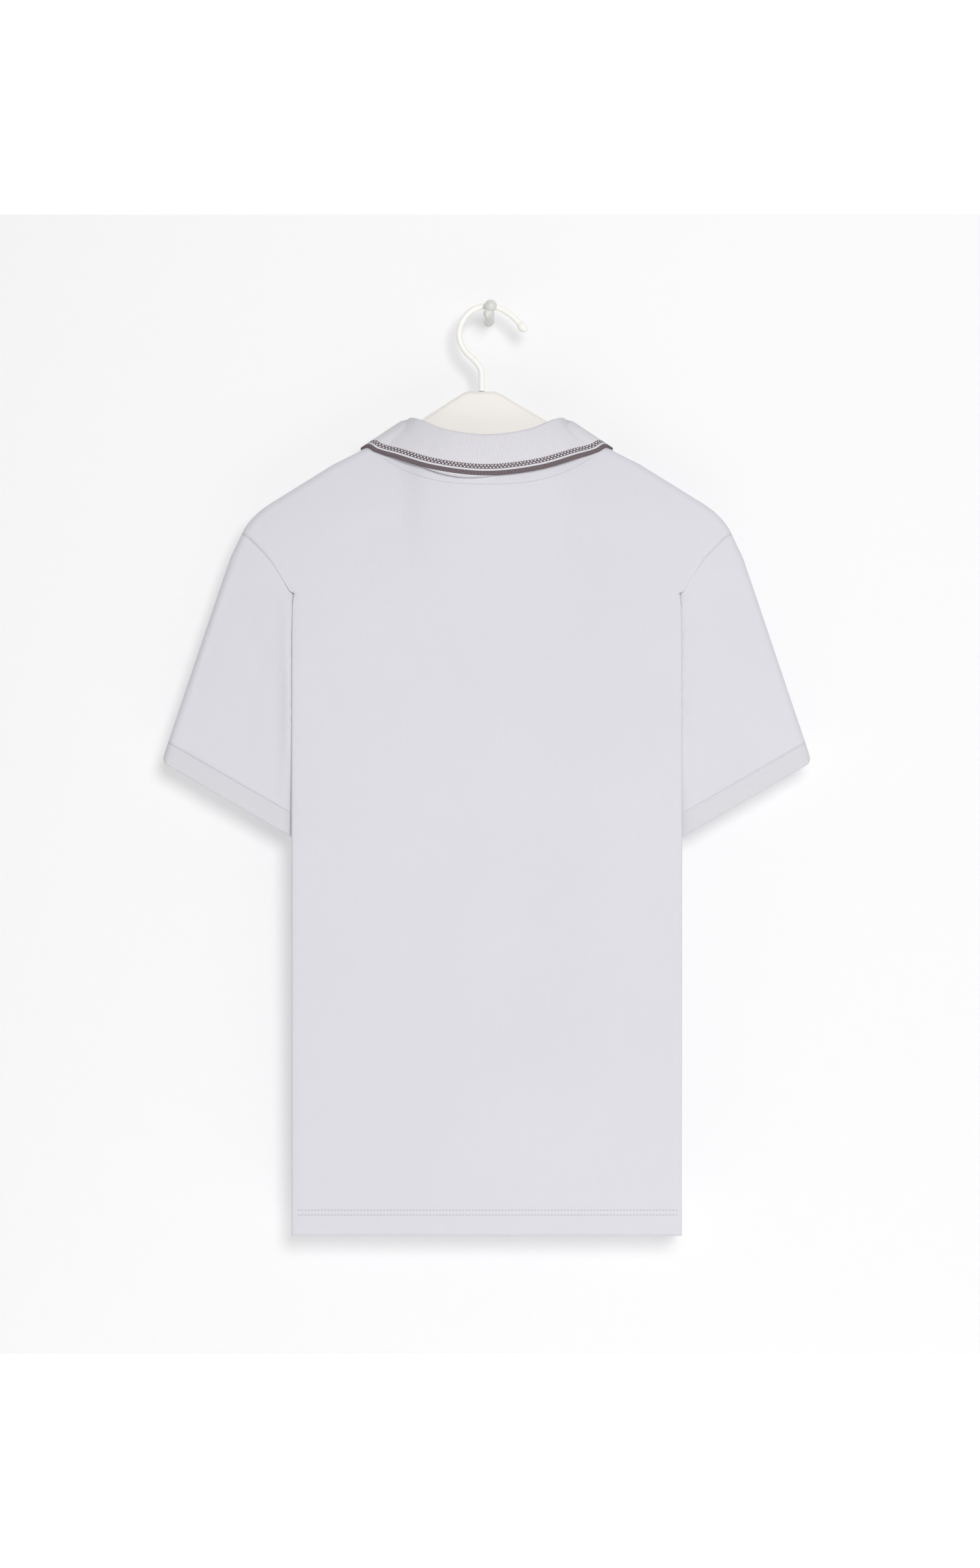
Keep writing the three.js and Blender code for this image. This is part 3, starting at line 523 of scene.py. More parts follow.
class Graph:
    """Short calls that build one node tree."""

    def __init__(self, tree: bpy.types.NodeTree) -> None:
        self.tree = tree

    def add(self, kind: str, **settings: object) -> bpy.types.Node:
        """A new node with its settings."""
        node = self.tree.nodes.new(kind)
        for name, value in settings.items():
            setattr(node, name, value)
        return node

    def feed(self, socket: bpy.types.NodeSocket, value: object) -> None:
        """Links a socket to an input, or sets the input's value."""
        if isinstance(value, bpy.types.NodeSocket):
            self.tree.links.new(value, socket)
        else:
            socket.default_value = value

    def math(self, operation: str, *values: object) -> bpy.types.NodeSocket:
        """One maths node on one to three values."""
        node = self.add("ShaderNodeMath", operation=operation)
        for socket, value in zip(node.inputs, values):
            self.feed(socket, value)
        return node.outputs[0]

    def mixed(self, factor: object, first: object, second: object) -> bpy.types.NodeSocket:
        """A colour between two colours."""
        node = self.add("ShaderNodeMix", data_type="RGBA")
        self.feed(node.inputs["Factor"], factor)
        self.feed(node.inputs[6], first)
        self.feed(node.inputs[7], second)
        return node.outputs[2]

    def between(self, value: object, low: float, high: float, soft: float) -> bpy.types.NodeSocket:
        """A band mask: 1 from low to high, with soft edges."""
        up = self.ramp(value, low - soft, low + soft)
        down = self.ramp(value, high + soft, high - soft)
        return self.math("MULTIPLY", up, down)

    def ramp(self, value: object, start: object, end: object) -> bpy.types.NodeSocket:
        """A soft rise from 0 at start to 1 at end."""
        node = self.add("ShaderNodeMapRange", interpolation_type="SMOOTHSTEP")
        self.feed(node.inputs["Value"], value)
        self.feed(node.inputs["From Min"], start)
        self.feed(node.inputs["From Max"], end)
        return node.outputs["Result"]

    def wave(self, value: object, pitch: float) -> bpy.types.NodeSocket:
        """A cosine wave from 0 to 1 with a pitch in millimetres."""
        turned = self.math("COSINE", self.math("MULTIPLY", value, 2 * math.pi / pitch))
        return self.math("MULTIPLY_ADD", turned, 0.5, 0.5)

    def cut_millimetres(self) -> tuple[bpy.types.NodeSocket, bpy.types.NodeSocket]:
        """The flat cut's two coordinates in millimetres."""
        uv = self.add("ShaderNodeUVMap", uv_map="cloth")
        apart = self.add("ShaderNodeSeparateXYZ")
        self.feed(apart.inputs[0], uv.outputs[0])
        return tuple(self.math("MULTIPLY", apart.outputs[axis], 1000.0) for axis in ("X", "Y"))


@dataclass(frozen=True)
class ClothTone:
    """Slow changes of a cloth's tone over its cut, as a shared node group."""

    name: str = "cloth_tone"
    size: float = 0.16
    amount: float = 0.03

    def group(self) -> bpy.types.NodeTree:
        """The group: a colour in, the same colour with slow changes out."""
        found = bpy.data.node_groups.get(self.name)
        if found:
            return found
        tree = bpy.data.node_groups.new(self.name, "ShaderNodeTree")
        tree.interface.new_socket(name="Color", in_out="INPUT", socket_type="NodeSocketColor")
        tree.interface.new_socket(name="Color", in_out="OUTPUT", socket_type="NodeSocketColor")
        graph = Graph(tree)
        start, end = graph.add("NodeGroupInput"), graph.add("NodeGroupOutput")
        spot = graph.add("ShaderNodeTexCoord")
        noise = graph.add("ShaderNodeTexNoise")
        graph.feed(noise.inputs["Vector"], spot.outputs["Object"])
        graph.feed(noise.inputs["Scale"], 1 / self.size)
        graph.feed(noise.inputs["Detail"], 2.0)
        darker = graph.math("MULTIPLY", noise.outputs[0], self.amount * 2)
        share = graph.math("SUBTRACT", 1.0 + self.amount, darker)
        scaled = graph.add("ShaderNodeVectorMath", operation="SCALE")
        graph.feed(scaled.inputs[0], start.outputs[0])
        graph.feed(scaled.inputs["Scale"], share)
        graph.feed(end.inputs[0], scaled.outputs[0])
        return tree


@dataclass(frozen=True)
class Finish:
    """One material: a plain colour and how rough it is."""

    name: str
    colour: tuple[int, int, int]
    roughness: float
    coat: float = 0.0
    sheen: float = 0.0

    def start(self) -> tuple[bpy.types.Material, Graph, bpy.types.Node]:
        """The new material, its graph and its Principled node."""
        material = bpy.data.materials.new(self.name)
        material.use_nodes = True
        graph = Graph(material.node_tree)
        shader = next(node for node in graph.tree.nodes if node.type == "BSDF_PRINCIPLED")
        shader.inputs["Base Color"].default_value = linear(*self.colour)
        shader.inputs["Roughness"].default_value = self.roughness
        shader.inputs["Coat Weight"].default_value = self.coat
        shader.inputs["Sheen Weight"].default_value = self.sheen
        return material, graph, shader

    def toned(self, graph: Graph, colour: object) -> bpy.types.NodeSocket:
        """A colour with the cloth's slow changes of tone."""
        node = graph.add("ShaderNodeGroup")
        node.node_tree = ClothTone().group()
        graph.feed(node.inputs[0], colour)
        return node.outputs[0]

    def bump(self, graph: Graph, shader: bpy.types.Node, height: object, depth: float) -> None:
        """Raises the surface by a height from 0 to 1 times a depth in millimetres."""
        node = graph.add("ShaderNodeBump")
        node.inputs["Strength"].default_value = 1.0
        node.inputs["Distance"].default_value = depth * MM
        graph.feed(node.inputs["Height"], height)
        graph.feed(shader.inputs["Normal"], node.outputs[0])

    def material(self) -> bpy.types.Material:
        """The finished material."""
        return self.start()[0]


@dataclass(frozen=True)
class JerseyFinish(Finish):
    """Fine smooth knit: rows of small stitches a good half millimetre apart, their valleys darkened as
    painted shade.
    """

    wale: float = 0.75
    course: float = 0.6
    depth: float = 0.05
    # Painted shade: how much darker the knit's valleys are coloured.
    valley_shade_tone: float = 0.985

    def material(self) -> bpy.types.Material:
        """The finished material."""
        material, graph, shader = self.start()
        across, along = graph.cut_millimetres()
        knit = graph.math("MULTIPLY", graph.wave(across, self.wale), graph.wave(along, self.course))
        # Painted shade: the knit's valleys take a darker copy of the cloth's colour.
        shaded_valley = [c * self.valley_shade_tone for c in linear(*self.colour)[:3]]
        colour = graph.mixed(knit, [*shaded_valley, 1.0], linear(*self.colour))
        graph.feed(shader.inputs["Base Color"], self.toned(graph, colour))
        self.bump(graph, shader, knit, self.depth)
        return material


@dataclass(frozen=True)
class RibFinish(Finish):
    """Flat-knit rib: fine ribs that run square to the piece's long edges, their valleys darkened as painted
    shade.
    """

    pitch: float = 1.3
    depth: float = 0.22
    # Painted shade: the colour of the rib's valleys.
    shaded_valley: tuple[int, int, int] = (190, 188, 192)

    def material(self) -> bpy.types.Material:
        """The finished material."""
        material, graph, shader = self.start()
        around, _ = graph.cut_millimetres()
        rib = graph.wave(around, self.pitch)
        # The valleys take the darker colour: painted shade.
        graph.feed(shader.inputs["Base Color"], graph.mixed(rib, linear(*self.shaded_valley), linear(*self.colour)))
        self.bump(graph, shader, rib, self.depth)
        return material


@dataclass(frozen=True)
class TippedFinish(RibFinish):
    """The collar's rib with its knitted bands, measured from the free edge."""

    dark: tuple[int, int, int] = (134, 123, 127)
    # Painted shade: the colour of the dark band's rib valleys.
    dark_valley: tuple[int, int, int] = (82, 68, 73)
    first_band: tuple[float, float] = (-0.15, 4.1)
    second_band: tuple[float, float] = (5.8, 9.6)
    speck_pitch: float = 3.5
    speck_rows: tuple[float, float] = (6.9, 8.7)
    speck_size: float = 0.64
    speck_slant: float = 0.7
    speck_drop: float = 0.2
    speck_core: float = 0.55
    speck_reach: tuple[float, float] = (1.5, 1.1)
    serration: float = 0.9
    blur: float = 0.15

    def specks(self, graph: Graph, around: object, inward: object) -> bpy.types.NodeSocket:
        """A mask of small pale V-shaped specks in two staggered rows."""
        masks = []
        for index, row in enumerate(self.speck_rows):
            shifted = graph.math("ADD", around, index * self.speck_pitch / 2)
            wrapped = graph.math("PINGPONG", shifted, self.speck_pitch / 2)
            rise = graph.math("MULTIPLY_ADD", wrapped, self.speck_slant, row - self.speck_drop)
            off = graph.math("ABSOLUTE", graph.math("SUBTRACT", inward, rise))
            near = graph.ramp(off, self.speck_size, self.speck_size * self.speck_core)
            inside = graph.ramp(wrapped, *(self.speck_size * reach for reach in self.speck_reach))
            masks.append(graph.math("MULTIPLY", near, inside))
        return graph.math("MAXIMUM", *masks)

    def material(self) -> bpy.types.Material:
        """The finished material."""
        material, graph, shader = self.start()
        around, inward = graph.cut_millimetres()
        rib = graph.wave(around, self.pitch)
        # The pale rib and the dark bands both darken in their valleys: painted shade.
        pale = graph.mixed(rib, linear(*self.shaded_valley), linear(*self.colour))
        dark = graph.mixed(rib, linear(*self.dark_valley), linear(*self.dark))
        serration = graph.math("MULTIPLY", graph.wave(around, self.pitch * 2), self.serration)
        upper = graph.math("SUBTRACT", inward, serration)
        first = graph.between(inward, *self.first_band, self.blur)
        second = graph.math(
            "MULTIPLY",
            graph.ramp(inward, self.second_band[0] - self.blur, self.second_band[0] + self.blur),
            graph.ramp(upper, self.second_band[1] + self.blur, self.second_band[1] - self.blur),
        )
        bare = graph.math("SUBTRACT", 1.0, self.specks(graph, around, inward))
        band = graph.math("MAXIMUM", first, graph.math("MULTIPLY", second, bare))
        graph.feed(shader.inputs["Base Color"], graph.mixed(band, pale, dark))
        self.bump(graph, shader, rib, self.depth)
        return material


@dataclass(frozen=True)
class Palette:
    """Every material of the shirt."""

    jersey: JerseyFinish = JerseyFinish("shirt_jersey", (220, 219, 225), 0.9, sheen=0.12)
    # Each valley colour given here is painted shade in that rib's valleys.
    rib: RibFinish = RibFinish("cuff_rib", (219, 218, 223), 0.92, shaded_valley=(211, 210, 215), depth=0.08)
    pale_rib: RibFinish = RibFinish("pale_rib", (234, 232, 236), 0.92, shaded_valley=(212, 209, 214))
    tipped: TippedFinish = TippedFinish("collar_tipped_rib", (233, 232, 237), 0.92, shaded_valley=(216, 214, 220))
    # The thread is darker than the cloth that it is sewn to: painted shade of the stitches' small shadows.
    thread: Finish = Finish("thread", (182, 181, 188), 0.85)
    button: Finish = Finish("button_resin", (236, 234, 230), 0.32, coat=0.25)
    # Painted shade: the dark discs that stand for the inside of the button's holes.
    hole: Finish = Finish("button_hole_painted_shade", (120, 118, 120), 0.9)
    hanger: Finish = Finish("hanger_cream", (238, 234, 229), 0.5)
    # A lighter copy of the hanger's cream: painted light that offsets the shade on the hook's round bar.
    hook: Finish = Finish("hook_cream_painted_light", (249, 247, 242), 0.5)
    peg: Finish = Finish("peg_white", (250, 250, 249), 0.6)
    knob: Finish = Finish("peg_knob_pale", (216, 216, 212), 0.35)

    @cached_property
    def made(self) -> dict[str, bpy.types.Material]:
        """The materials by the names of their fields."""
        return {name: getattr(self, name).material() for name in self.__dataclass_fields__}


@dataclass(frozen=True)
class Stitching:
    """Rows of thread stitches that lie on the cloth; the thread's darker colour is painted shade."""

    pitch: float = 3.0
    length: float = 2.3
    width: float = 0.32
    height: float = 0.2
    lift: float = 0.06
    samples: int = 160
    look_ahead: float = 0.002

    def row(
        self, bm: bmesh.types.BMesh, line: Callable[[float], Vector], out: Callable[[float], Vector]
    ) -> None:
        """Adds one row along a line given by a share from 0 to 1, in garment millimetres."""
        samples = [line(share) for share in steps(0, 1, self.samples)]
        total = [0.0]
        for a, b in zip(samples, samples[1:]):
            total.append(total[-1] + (b - a).length)
        count = int(total[-1] / self.pitch)
        i = 0
        for index in range(count):
            along = (index + 0.5) * self.pitch
            while total[i + 1] < along:
                i += 1
            share = (i + (along - total[i]) / (total[i + 1] - total[i])) / self.samples
            after, before = min(1, share + self.look_ahead), max(0, share - self.look_ahead)
            ahead = (line(after) - line(before)).normalized()
            normal = out(share)
            side = normal.cross(ahead).normalized()
            turned = Matrix((ahead, side, ahead.cross(side))).transposed().to_4x4()
            size = Matrix.Diagonal((self.length / 2 * MM, self.width * MM, self.height * MM, 1))
            matrix = Matrix.Translation(in_frame(line(share) + normal * self.lift)) @ turned @ size
            bmesh.ops.create_icosphere(bm, subdivisions=1, radius=1.0, matrix=matrix)


@dataclass(frozen=True)
class PanelCells:
    """How many cells each part of a panel's grid has."""

    neck: int = 18
    main: int = 20
    hem: int = 5
    below_placket: int = 84
    beside_placket: int = 18
    upper: int = 22
    ridge: int = 9
    turn: int = 8
    tuck: int = 14
    wing: int = 12


@dataclass
class Panel:
    """The back or front: one cut with its tucked-in sides."""

    form: ShirtForm
    side: Side
    palette: Palette
    cut: tuple[float, float] = (0.52, 0.737)
    cells: PanelCells = PanelCells()
    neck_angle: float = 12.0
    ridge_share: float = 0.2
    seam_end: float = 9.0
    seam_end_shape: float = 1.3
    hem_rows: tuple[float, float] = (19.2, 23.6)
    front_row_half: float = 74.0
    front_row_drop: float = 5.0
    back_row_half: float = 95.0
    back_row_z: float = -158.3
    back_row_rise: float = 25.9
    back_row_curve: float = 2.6
    back_row_reach: float = 95.4

    @property
    def main_share(self) -> float:
        """The share of the upper rows below the ridge's own."""
        return 1 - self.ridge_share

    def upper_z(self, p: float, row: float) -> float:
        """The height of an upper row: 0 is the fold's top, 1 the ridge or neckline."""
        form = self.form
        top = form.neck_z(self.side, p) if p < form.neck_half else form.shoulder_z(p)
        drop = form.ridge_radius * form.slant
        if row >= self.main_share:
            share = (1 - row) / self.ridge_share
            return top - drop * share**2
        return mix(form.fold_top_z, top - drop, row / self.main_share)

    def wing_point(self, across: float, row: float) -> tuple[float, float]:
        """A point between the main width, the shoulder ridge and the armhole seam."""
        form = self.form
        seam = Path(tuple(reversed(form.armhole)))
        inner = (form.flat_fold, form.shoulder_z(form.flat_fold))
        top = Path((inner, form.shoulder[-1], *form.shoulder_round))
        if row < self.main_share:
            along = mix(0, seam.length - self.seam_end, row / self.main_share)
        else:
            left_over = ((1 - row) / self.ridge_share) ** self.seam_end_shape
            along = seam.length - self.seam_end * left_over
        left = (form.flat_fold, self.upper_z(form.flat_fold, row))
        right = seam.point(along)
        crest = top.point(across * top.length)
        chord = [mix(a, b, across) for a, b in zip(top.rows[0], top.rows[-1])]
        return tuple(mix(a, b, across) + (c - d) * row**3 for a, b, c, d in zip(left, right, crest, chord))

    def place(self, p: float, z: float) -> Point:
        """A point of the cut on the hung shirt, clear of the other panel at the ridge."""
        x, y, z = self.form.fold_body(self.side, p, z)
        least = self.form.seam_gap / 2
        return x, self.side.value * max(least, y * self.side.value), z

    def mesh(self) -> SheetMesh:
        """The whole panel as one sheet."""
        form = self.form
        sheet = SheetMesh(f"{self.side.name.lower()}_panel_cloth")
        slot = form.placket_width / 2 + form.seam_gap
        cells = self.cells
        angles = steps(self.neck_angle, 90, cells.neck)
        neck = [form.neck_half * math.sin(math.radians(angle)) for angle in angles]
        main = joined([0, slot], [slot, *neck[1:]], steps(neck[-1], form.flat_fold, cells.main))
        lower = joined(
            steps(form.hem_z, form.hem_turn_z, cells.hem),
            steps(form.hem_turn_z, form.placket_end_z, cells.below_placket),
            steps(form.placket_end_z, form.fold_top_z, cells.beside_placket),
        )
        upper = joined(steps(0, self.main_share, cells.upper), steps(self.main_share, 1, cells.ridge))
        side = joined(
            steps(form.flat_fold, form.gusset_start, cells.turn),
            steps(form.gusset_start, form.half_cut, cells.tuck),
        )
        for way in (1, -1):
            flip = (way > 0) == (self.side is Side.BACK)
            self.half(sheet, way, flip, main, lower, upper, side)
        return sheet

    def half(
        self,
        sheet: SheetMesh,
        way: int,
        flip: bool,
        main: Sequence[float],
        lower: Sequence[float],
        upper: Sequence[float],
        side: Sequence[float],
    ) -> None:
        """Adds one half of the panel to its sheet."""
        form = self.form
        slot = form.placket_width / 2 + form.seam_gap

        def side_z(p: float, z: float) -> float:
            if z <= form.hem_turn_z:
                return z
            share = (z - form.hem_turn_z) / (form.fold_top_z - form.hem_turn_z)
            return mix(form.hem_turn_z, form.armhole_z(p), share)

        def wing(across: float, row: float) -> Point:
            if row == 0:
                return self.place(way * form.flat_fold, form.fold_top_z)
            x, z = self.wing_point(across, row)
            y = max(form.seam_gap / 2, form.body_y(self.side, x, z))
            return way * x, self.side.value * y, z

        def cloth(p: float, z: float) -> bool:
            return self.side is Side.BACK or p > slot or z < form.placket_end_z

        sheet.patch(main, lower, lambda p, z: self.place(way * p, z), lambda p, z: (way * p, z), flip, cloth)
        sheet.patch(
            main,
            upper,
            lambda p, row: self.place(way * p, self.upper_z(p, row)),
            lambda p, row: (way * p, self.upper_z(p, row)),
            flip,
            lambda p, row: self.side is Side.BACK or p > slot,
        )
        sheet.patch(
            side,
            lower,
            lambda p, z: self.place(way * p, side_z(p, z)),
            lambda p, z: (way * p, side_z(p, z)),
            flip,
        )
        sheet.patch(
            steps(0, 1, self.cells.wing),
            upper,
            wing,
            lambda s, row: (way * self.wing_point(s, row)[0], self.wing_point(s, row)[1]),
            flip,
        )

    def out(self, p: float, z: float) -> Vector:
        """The outward direction of the cloth at a point of the cut."""
        across = Vector(self.place(p + 0.5, z)) - Vector(self.place(p - 0.5, z))
        up = Vector(self.place(p, z + 0.5)) - Vector(self.place(p, z - 0.5))
        normal = up.cross(across).normalized()
        return normal if normal.y * self.side.value > 0 else -normal

    def hem_stitches(self) -> bpy.types.Object:
        """The hem's two needle rows."""
        bm = bmesh.new()
        reach = self.form.flat_fold - 1
        for z in (self.form.hem_z + row for row in self.hem_rows):
            Stitching().row(
                bm,
                lambda t, z=z: Vector(self.place(mix(-reach, reach, t), z)),
                lambda t, z=z: self.out(mix(-reach, reach, t), z),
            )
        return mesh_object(f"{self.side.name.lower()}_hem_stitches", bm, [self.palette.made["thread"]])

    def neck_line(self, share: float) -> tuple[float, float]:
        """A point of the stitched row below the neck seam; the back's lies further below it."""
        if self.side is Side.FRONT:
            p = mix(-self.front_row_half, self.front_row_half, share)
            return p, self.form.neck_z(self.side, p) - self.front_row_drop
        p = mix(-self.back_row_half, self.back_row_half, share)
        rise = self.back_row_rise * abs(p / self.back_row_reach) ** self.back_row_curve
        return p, self.back_row_z + rise

    def neck_stitches(self) -> bpy.types.Object:
        """The fine row below the neck seam."""
        bm = bmesh.new()
        Stitching(pitch=2.6, length=1.7, width=0.28).row(
            bm,
            lambda share: Vector(self.place(*self.neck_line(share))),
            lambda share: self.out(*self.neck_line(share)),
        )
        return mesh_object(f"{self.side.name.lower()}_neck_stitches", bm, [self.palette.made["thread"]])

    def build(self) -> None:
        """Makes the panel and its stitching."""
        sheet = self.mesh()
        area = sheet.flat_area()
        cloth = sheet.finished(self.form.cloth, [self.palette.made["jersey"]])
        dress(cloth, Slot.SHIRT, f"{self.side.name.lower()}_panel")
        rows = [dress(self.hem_stitches(), Slot.SHIRT), dress(self.neck_stitches(), Slot.SHIRT)]
        LOG.info("%s cut %s area %.4f", cloth.name, self.cut, area)


@dataclass
class Sleeve:
    """One sleeve and its rib cuff; way is 1 on the wearer's left.

    A field that ends in _by is the share of the sleeve's length by which its effect is full. One that
    ends in _over or _edge is the millimetres that it takes, the second from the outer line.
    """

    form: ShirtForm
    way: int
    palette: Palette
    cuff_width: float = 18.2
    corner_length: float = 6.0
    corner_rise: float = 3.2
    under_start: float = 3.0
    rim: float = 14.0
    tuck: float = 1.1
    foot_tuck: float = 2.4
    tuck_depth: float = 1.5
    cuff_step: float = 0.12
    rises_over: float = 12.0
    end_radius: float = 6.5
    fullness: float = 2.0
    fullness_over: float = 60.0
    lap_below: float = 34.0
    lap_over: float = 20.0
    lap_edge: float = 15.0
    lap_drop: float = 1.9
    free_by: float = 0.4
    swell_by: float = 0.25
    swell_edge: float = 25.0
    level_turns: float = 0.8
    level_by: float = 0.1
    under_steep: float = 1.2
    under_radius: float = 3.5
    under_slope: float = 0.12
    fold_clearance: float = 0.1
    foot_x: float = 200.0
    foot_over: float = 14.0
    creases: tuple[Crease, ...] = (
        Crease((228, -250), (262, -395), 11, 0.5),
        Crease((205, -300), (228, -430), 12, -0.5),
        Crease((212, -262), (190, -330), 9, 0.4),
    )
    hidden_cells: int = 6
    near_outer: tuple[float, ...] = (0, 0.3, 1.07, 2.3, 4, 6, 8)
    middle_cells: int = 26
    near_under: tuple[float, ...] = (9.5, 11.0, 12.2, 13.0, 13.6, 14.0)
    tucked_row: float = -0.01
    first_row: float = 0.006
    seam_rows: tuple[float, float] = (0.014, 0.1)
    seam_cells: int = 5
    length_cells: int = 40
    cuff_cells: int = 12
    sleeve_cut: tuple[float, float] = (0.47, 0.23)
    cuff_cut: tuple[float, float] = (0.325, 0.0185)

    @property
    def hand(self) -> str:
        """The side's name."""
        return "left" if self.way > 0 else "right"

    @cached_property
    def cap(self) -> Path:
        """The seam: along the visible armhole, then under the side tuck to the armpit."""
        form = self.form
        seen = [(x + form.close_gap, z - form.close_gap) for x, z in form.armhole]
        hidden = [
            (form.flat_fold - (p - form.gusset_start), form.armhole_z(p))
            for p in steps(form.gusset_start, form.half_cut - self.under_start, self.hidden_cells)
        ]
        return Path((*seen, *hidden))

    @cached_property
    def under(self) -> Path:
        """The under-arm line down past the cuff."""
        form = self.form
        beyond = between(form.sleeve_under_end, form.cuff_under_end, 2)
        return Path((self.cap.rows[-1], form.sleeve_under_end, beyond))

    @property
    def across(self) -> float:
        """The width of the flat tube at the cuff."""
        return math.dist(self.form.sleeve_outer_end, self.form.sleeve_under_end)

    def height(self, x: float, z: float, v: float) -> float:
        """How far the outer face stands from the middle plane."""
        form = self.form
        outer = form.ridge.distance_to(x, z)
        edge = round_edge(outer, mix(form.ridge_radius, self.end_radius, v))
        tube = edge + self.fullness * smooth_step(outer / self.fullness_over)
        lap = smooth_step((self.cap.rows[0][1] - z - self.lap_below) / self.lap_over)
        lap *= smooth_step(outer / self.lap_edge)
        cap = form.body_y(Side.BACK, x, z) - lap * self.lap_drop
        free = mix(cap, min(cap, tube), smooth_step(v / self.free_by))
        swell = self.swell(x, z) * smooth_step(outer / self.swell_edge)
        free += swell * smooth_step(v / self.swell_by)
        level = form.body_y(Side.BACK, form.flat_fold, z) - self.level_turns * form.fold_turn(z)
        beside = smooth_step((form.fold_x + self.rises_over - x) / self.rises_over)
        free = mix(free, max(free, level), beside * smooth_step(v / self.level_by))
        reach = self.under.distance_to(x, z)
        under = self.under_steep * round_edge(reach, self.under_radius) + self.under_slope * reach
        below_fold = form.beside_fold(Side.BACK, x, z) - self.fold_clearance
        return max(0.0, min(free, under, below_fold))

    def swell(self, x: float, z: float) -> float:
        """The lift of the soft creases that run down the sleeve."""
        return sum(crease.rise(x, z) for crease in self.creases)

    def spot(self, column: tuple[float, float], v: float) -> tuple[float, float]:
        """A point of the sleeve's flat tube at a share v of its length.

        Args:
            column: A distance from the outer line and a share of the rest of the width.
            v: 0 at the armhole seam, 1 at the cuff's seam.
        """
        form = self.form
        cap = self.cap.point(column[0] + column[1] * (self.cap.length - self.rim))
        s = self.share(column)
        x, z = between(cap, between(form.sleeve_outer_end, form.sleeve_under_end, s), v)
        return x + form.outer_bulge(v) * (1 - s) ** 3, z

    def share(self, column: tuple[float, float]) -> float:
        """Where a column lies on the sleeve's end, from 0 at the outer line."""
        return (column[0] + column[1] * (self.across - self.rim)) / self.across

    def cuff_spot(self, column: tuple[float, float], v: float) -> tuple[float, float]:
        """A point of the cuff's flat tube at a share v of its width, its outer corner rounded."""
        form = self.form
        s = self.share(column)
        seam = between(form.sleeve_outer_end, form.sleeve_under_end, s)
        x, z = between(seam, between(form.cuff_outer_end, form.cuff_under_end, s), v)
        corner = max(0.0, 1 - s * self.across / self.corner_length) ** 2 * self.corner_rise * v**4
        return x - corner / 2, z + corner

    def tuck_at(self, x: float) -> float:
        """How far the hidden edge goes under the seam; further at the armhole's foot."""
        foot = smooth_step((self.foot_x - x) / self.foot_over) if x > self.form.flat_fold else 0.0
        return self.tuck + self.foot_tuck * foot

    @cached_property
    def columns(self) -> list[tuple[float, float]]:
        """Columns from the outer line to the under-arm line."""
        first = [(distance, 0.0) for distance in self.near_outer]
        middle = [(self.near_outer[-1], share) for share in steps(0, 1, self.middle_cells)[1:]]
        return [*first, *middle, *((distance, 1.0) for distance in self.near_under)]

    def tube(self, name: str, rows: Sequence[float], is_cuff: bool) -> SheetMesh:
        """The sleeve or the cuff as a flat tube; a row below 0 is tucked under what it is sewn to."""
        sheet = SheetMesh(name)
        last = len(self.columns) - 1
        ends = (0, last)

        def place(index: float, row: float, face: int) -> Point:
            column, v = self.columns[int(index)], max(0.0, row)
            x, z = self.cuff_spot(column, v) if is_cuff else self.spot(column, v)
            seen_x, seen_z, seen_v = (*self.spot(column, 1.0), 1.0) if is_cuff else (x, z, v)
            y = 0.0 if index in ends else self.height(seen_x, seen_z, seen_v)
            if row < 0 and index not in ends:
                tuck = self.tuck_at(x)
                x, y, z = x - tuck, max(0.0, y - self.tuck_depth), z + tuck
            elif is_cuff and index not in ends:
                y = max(0.0, y - self.cuff_step)
            return self.way * x, face * y, z

        def flat(index: float, row: float, face: int) -> tuple[float, float]:
            column, v = self.columns[int(index)], max(0.0, row)
            if is_cuff:
                return face * self.share(column) * self.across, -v * self.cuff_width
            width = mix(self.cap.length, self.across, v)
            up = math.dist(self.spot(column, v), self.spot(column, 1.0))
            return face * (column[0] + column[1] * (width - self.rim)), up

        for face in (1, -1):
            sheet.patch(
                list(range(last + 1)),
                rows,
                lambda i, row, face=face: place(i, row, face),
                lambda i, row, face=face: flat(i, row, face),
                flip=self.way * face > 0,
            )
        return sheet

    def build(self) -> None:
        """Makes the sleeve and the cuff."""
        seam = steps(*self.seam_rows, self.seam_cells)
        length = steps(self.seam_rows[-1], 1, self.length_cells)
        rows = [self.tucked_row, 0.0, self.first_row, *joined(seam, length)]
        self.piece("sleeve", rows, False)
        self.piece("cuff", [self.tucked_row, *steps(0, 1, self.cuff_cells)], True)

    def piece(self, node: str, rows: Sequence[float], is_cuff: bool) -> None:
        """Makes the sleeve or the cuff and dresses it."""
        sheet = self.tube(f"{node}_{self.hand}_cloth", rows, is_cuff)
        area = sheet.flat_area()
        made = self.palette.made
        if is_cuff:
            cloth = dress(sheet.finished(self.form.rib, [made["rib"]]), Slot.RIB, f"cuff_{self.hand}")
        else:
            sleeve = sheet.finished(self.form.cloth, [made["jersey"]])
            cloth = dress(sleeve, Slot.SHIRT, f"sleeve_{self.hand}")


@dataclass(frozen=True)
class CollarStation:
    """A place round the neck: the fold's axis and the free edge."""

    angle: float
    fold: tuple[float, float, float]
    edge: tuple[float, float, float]


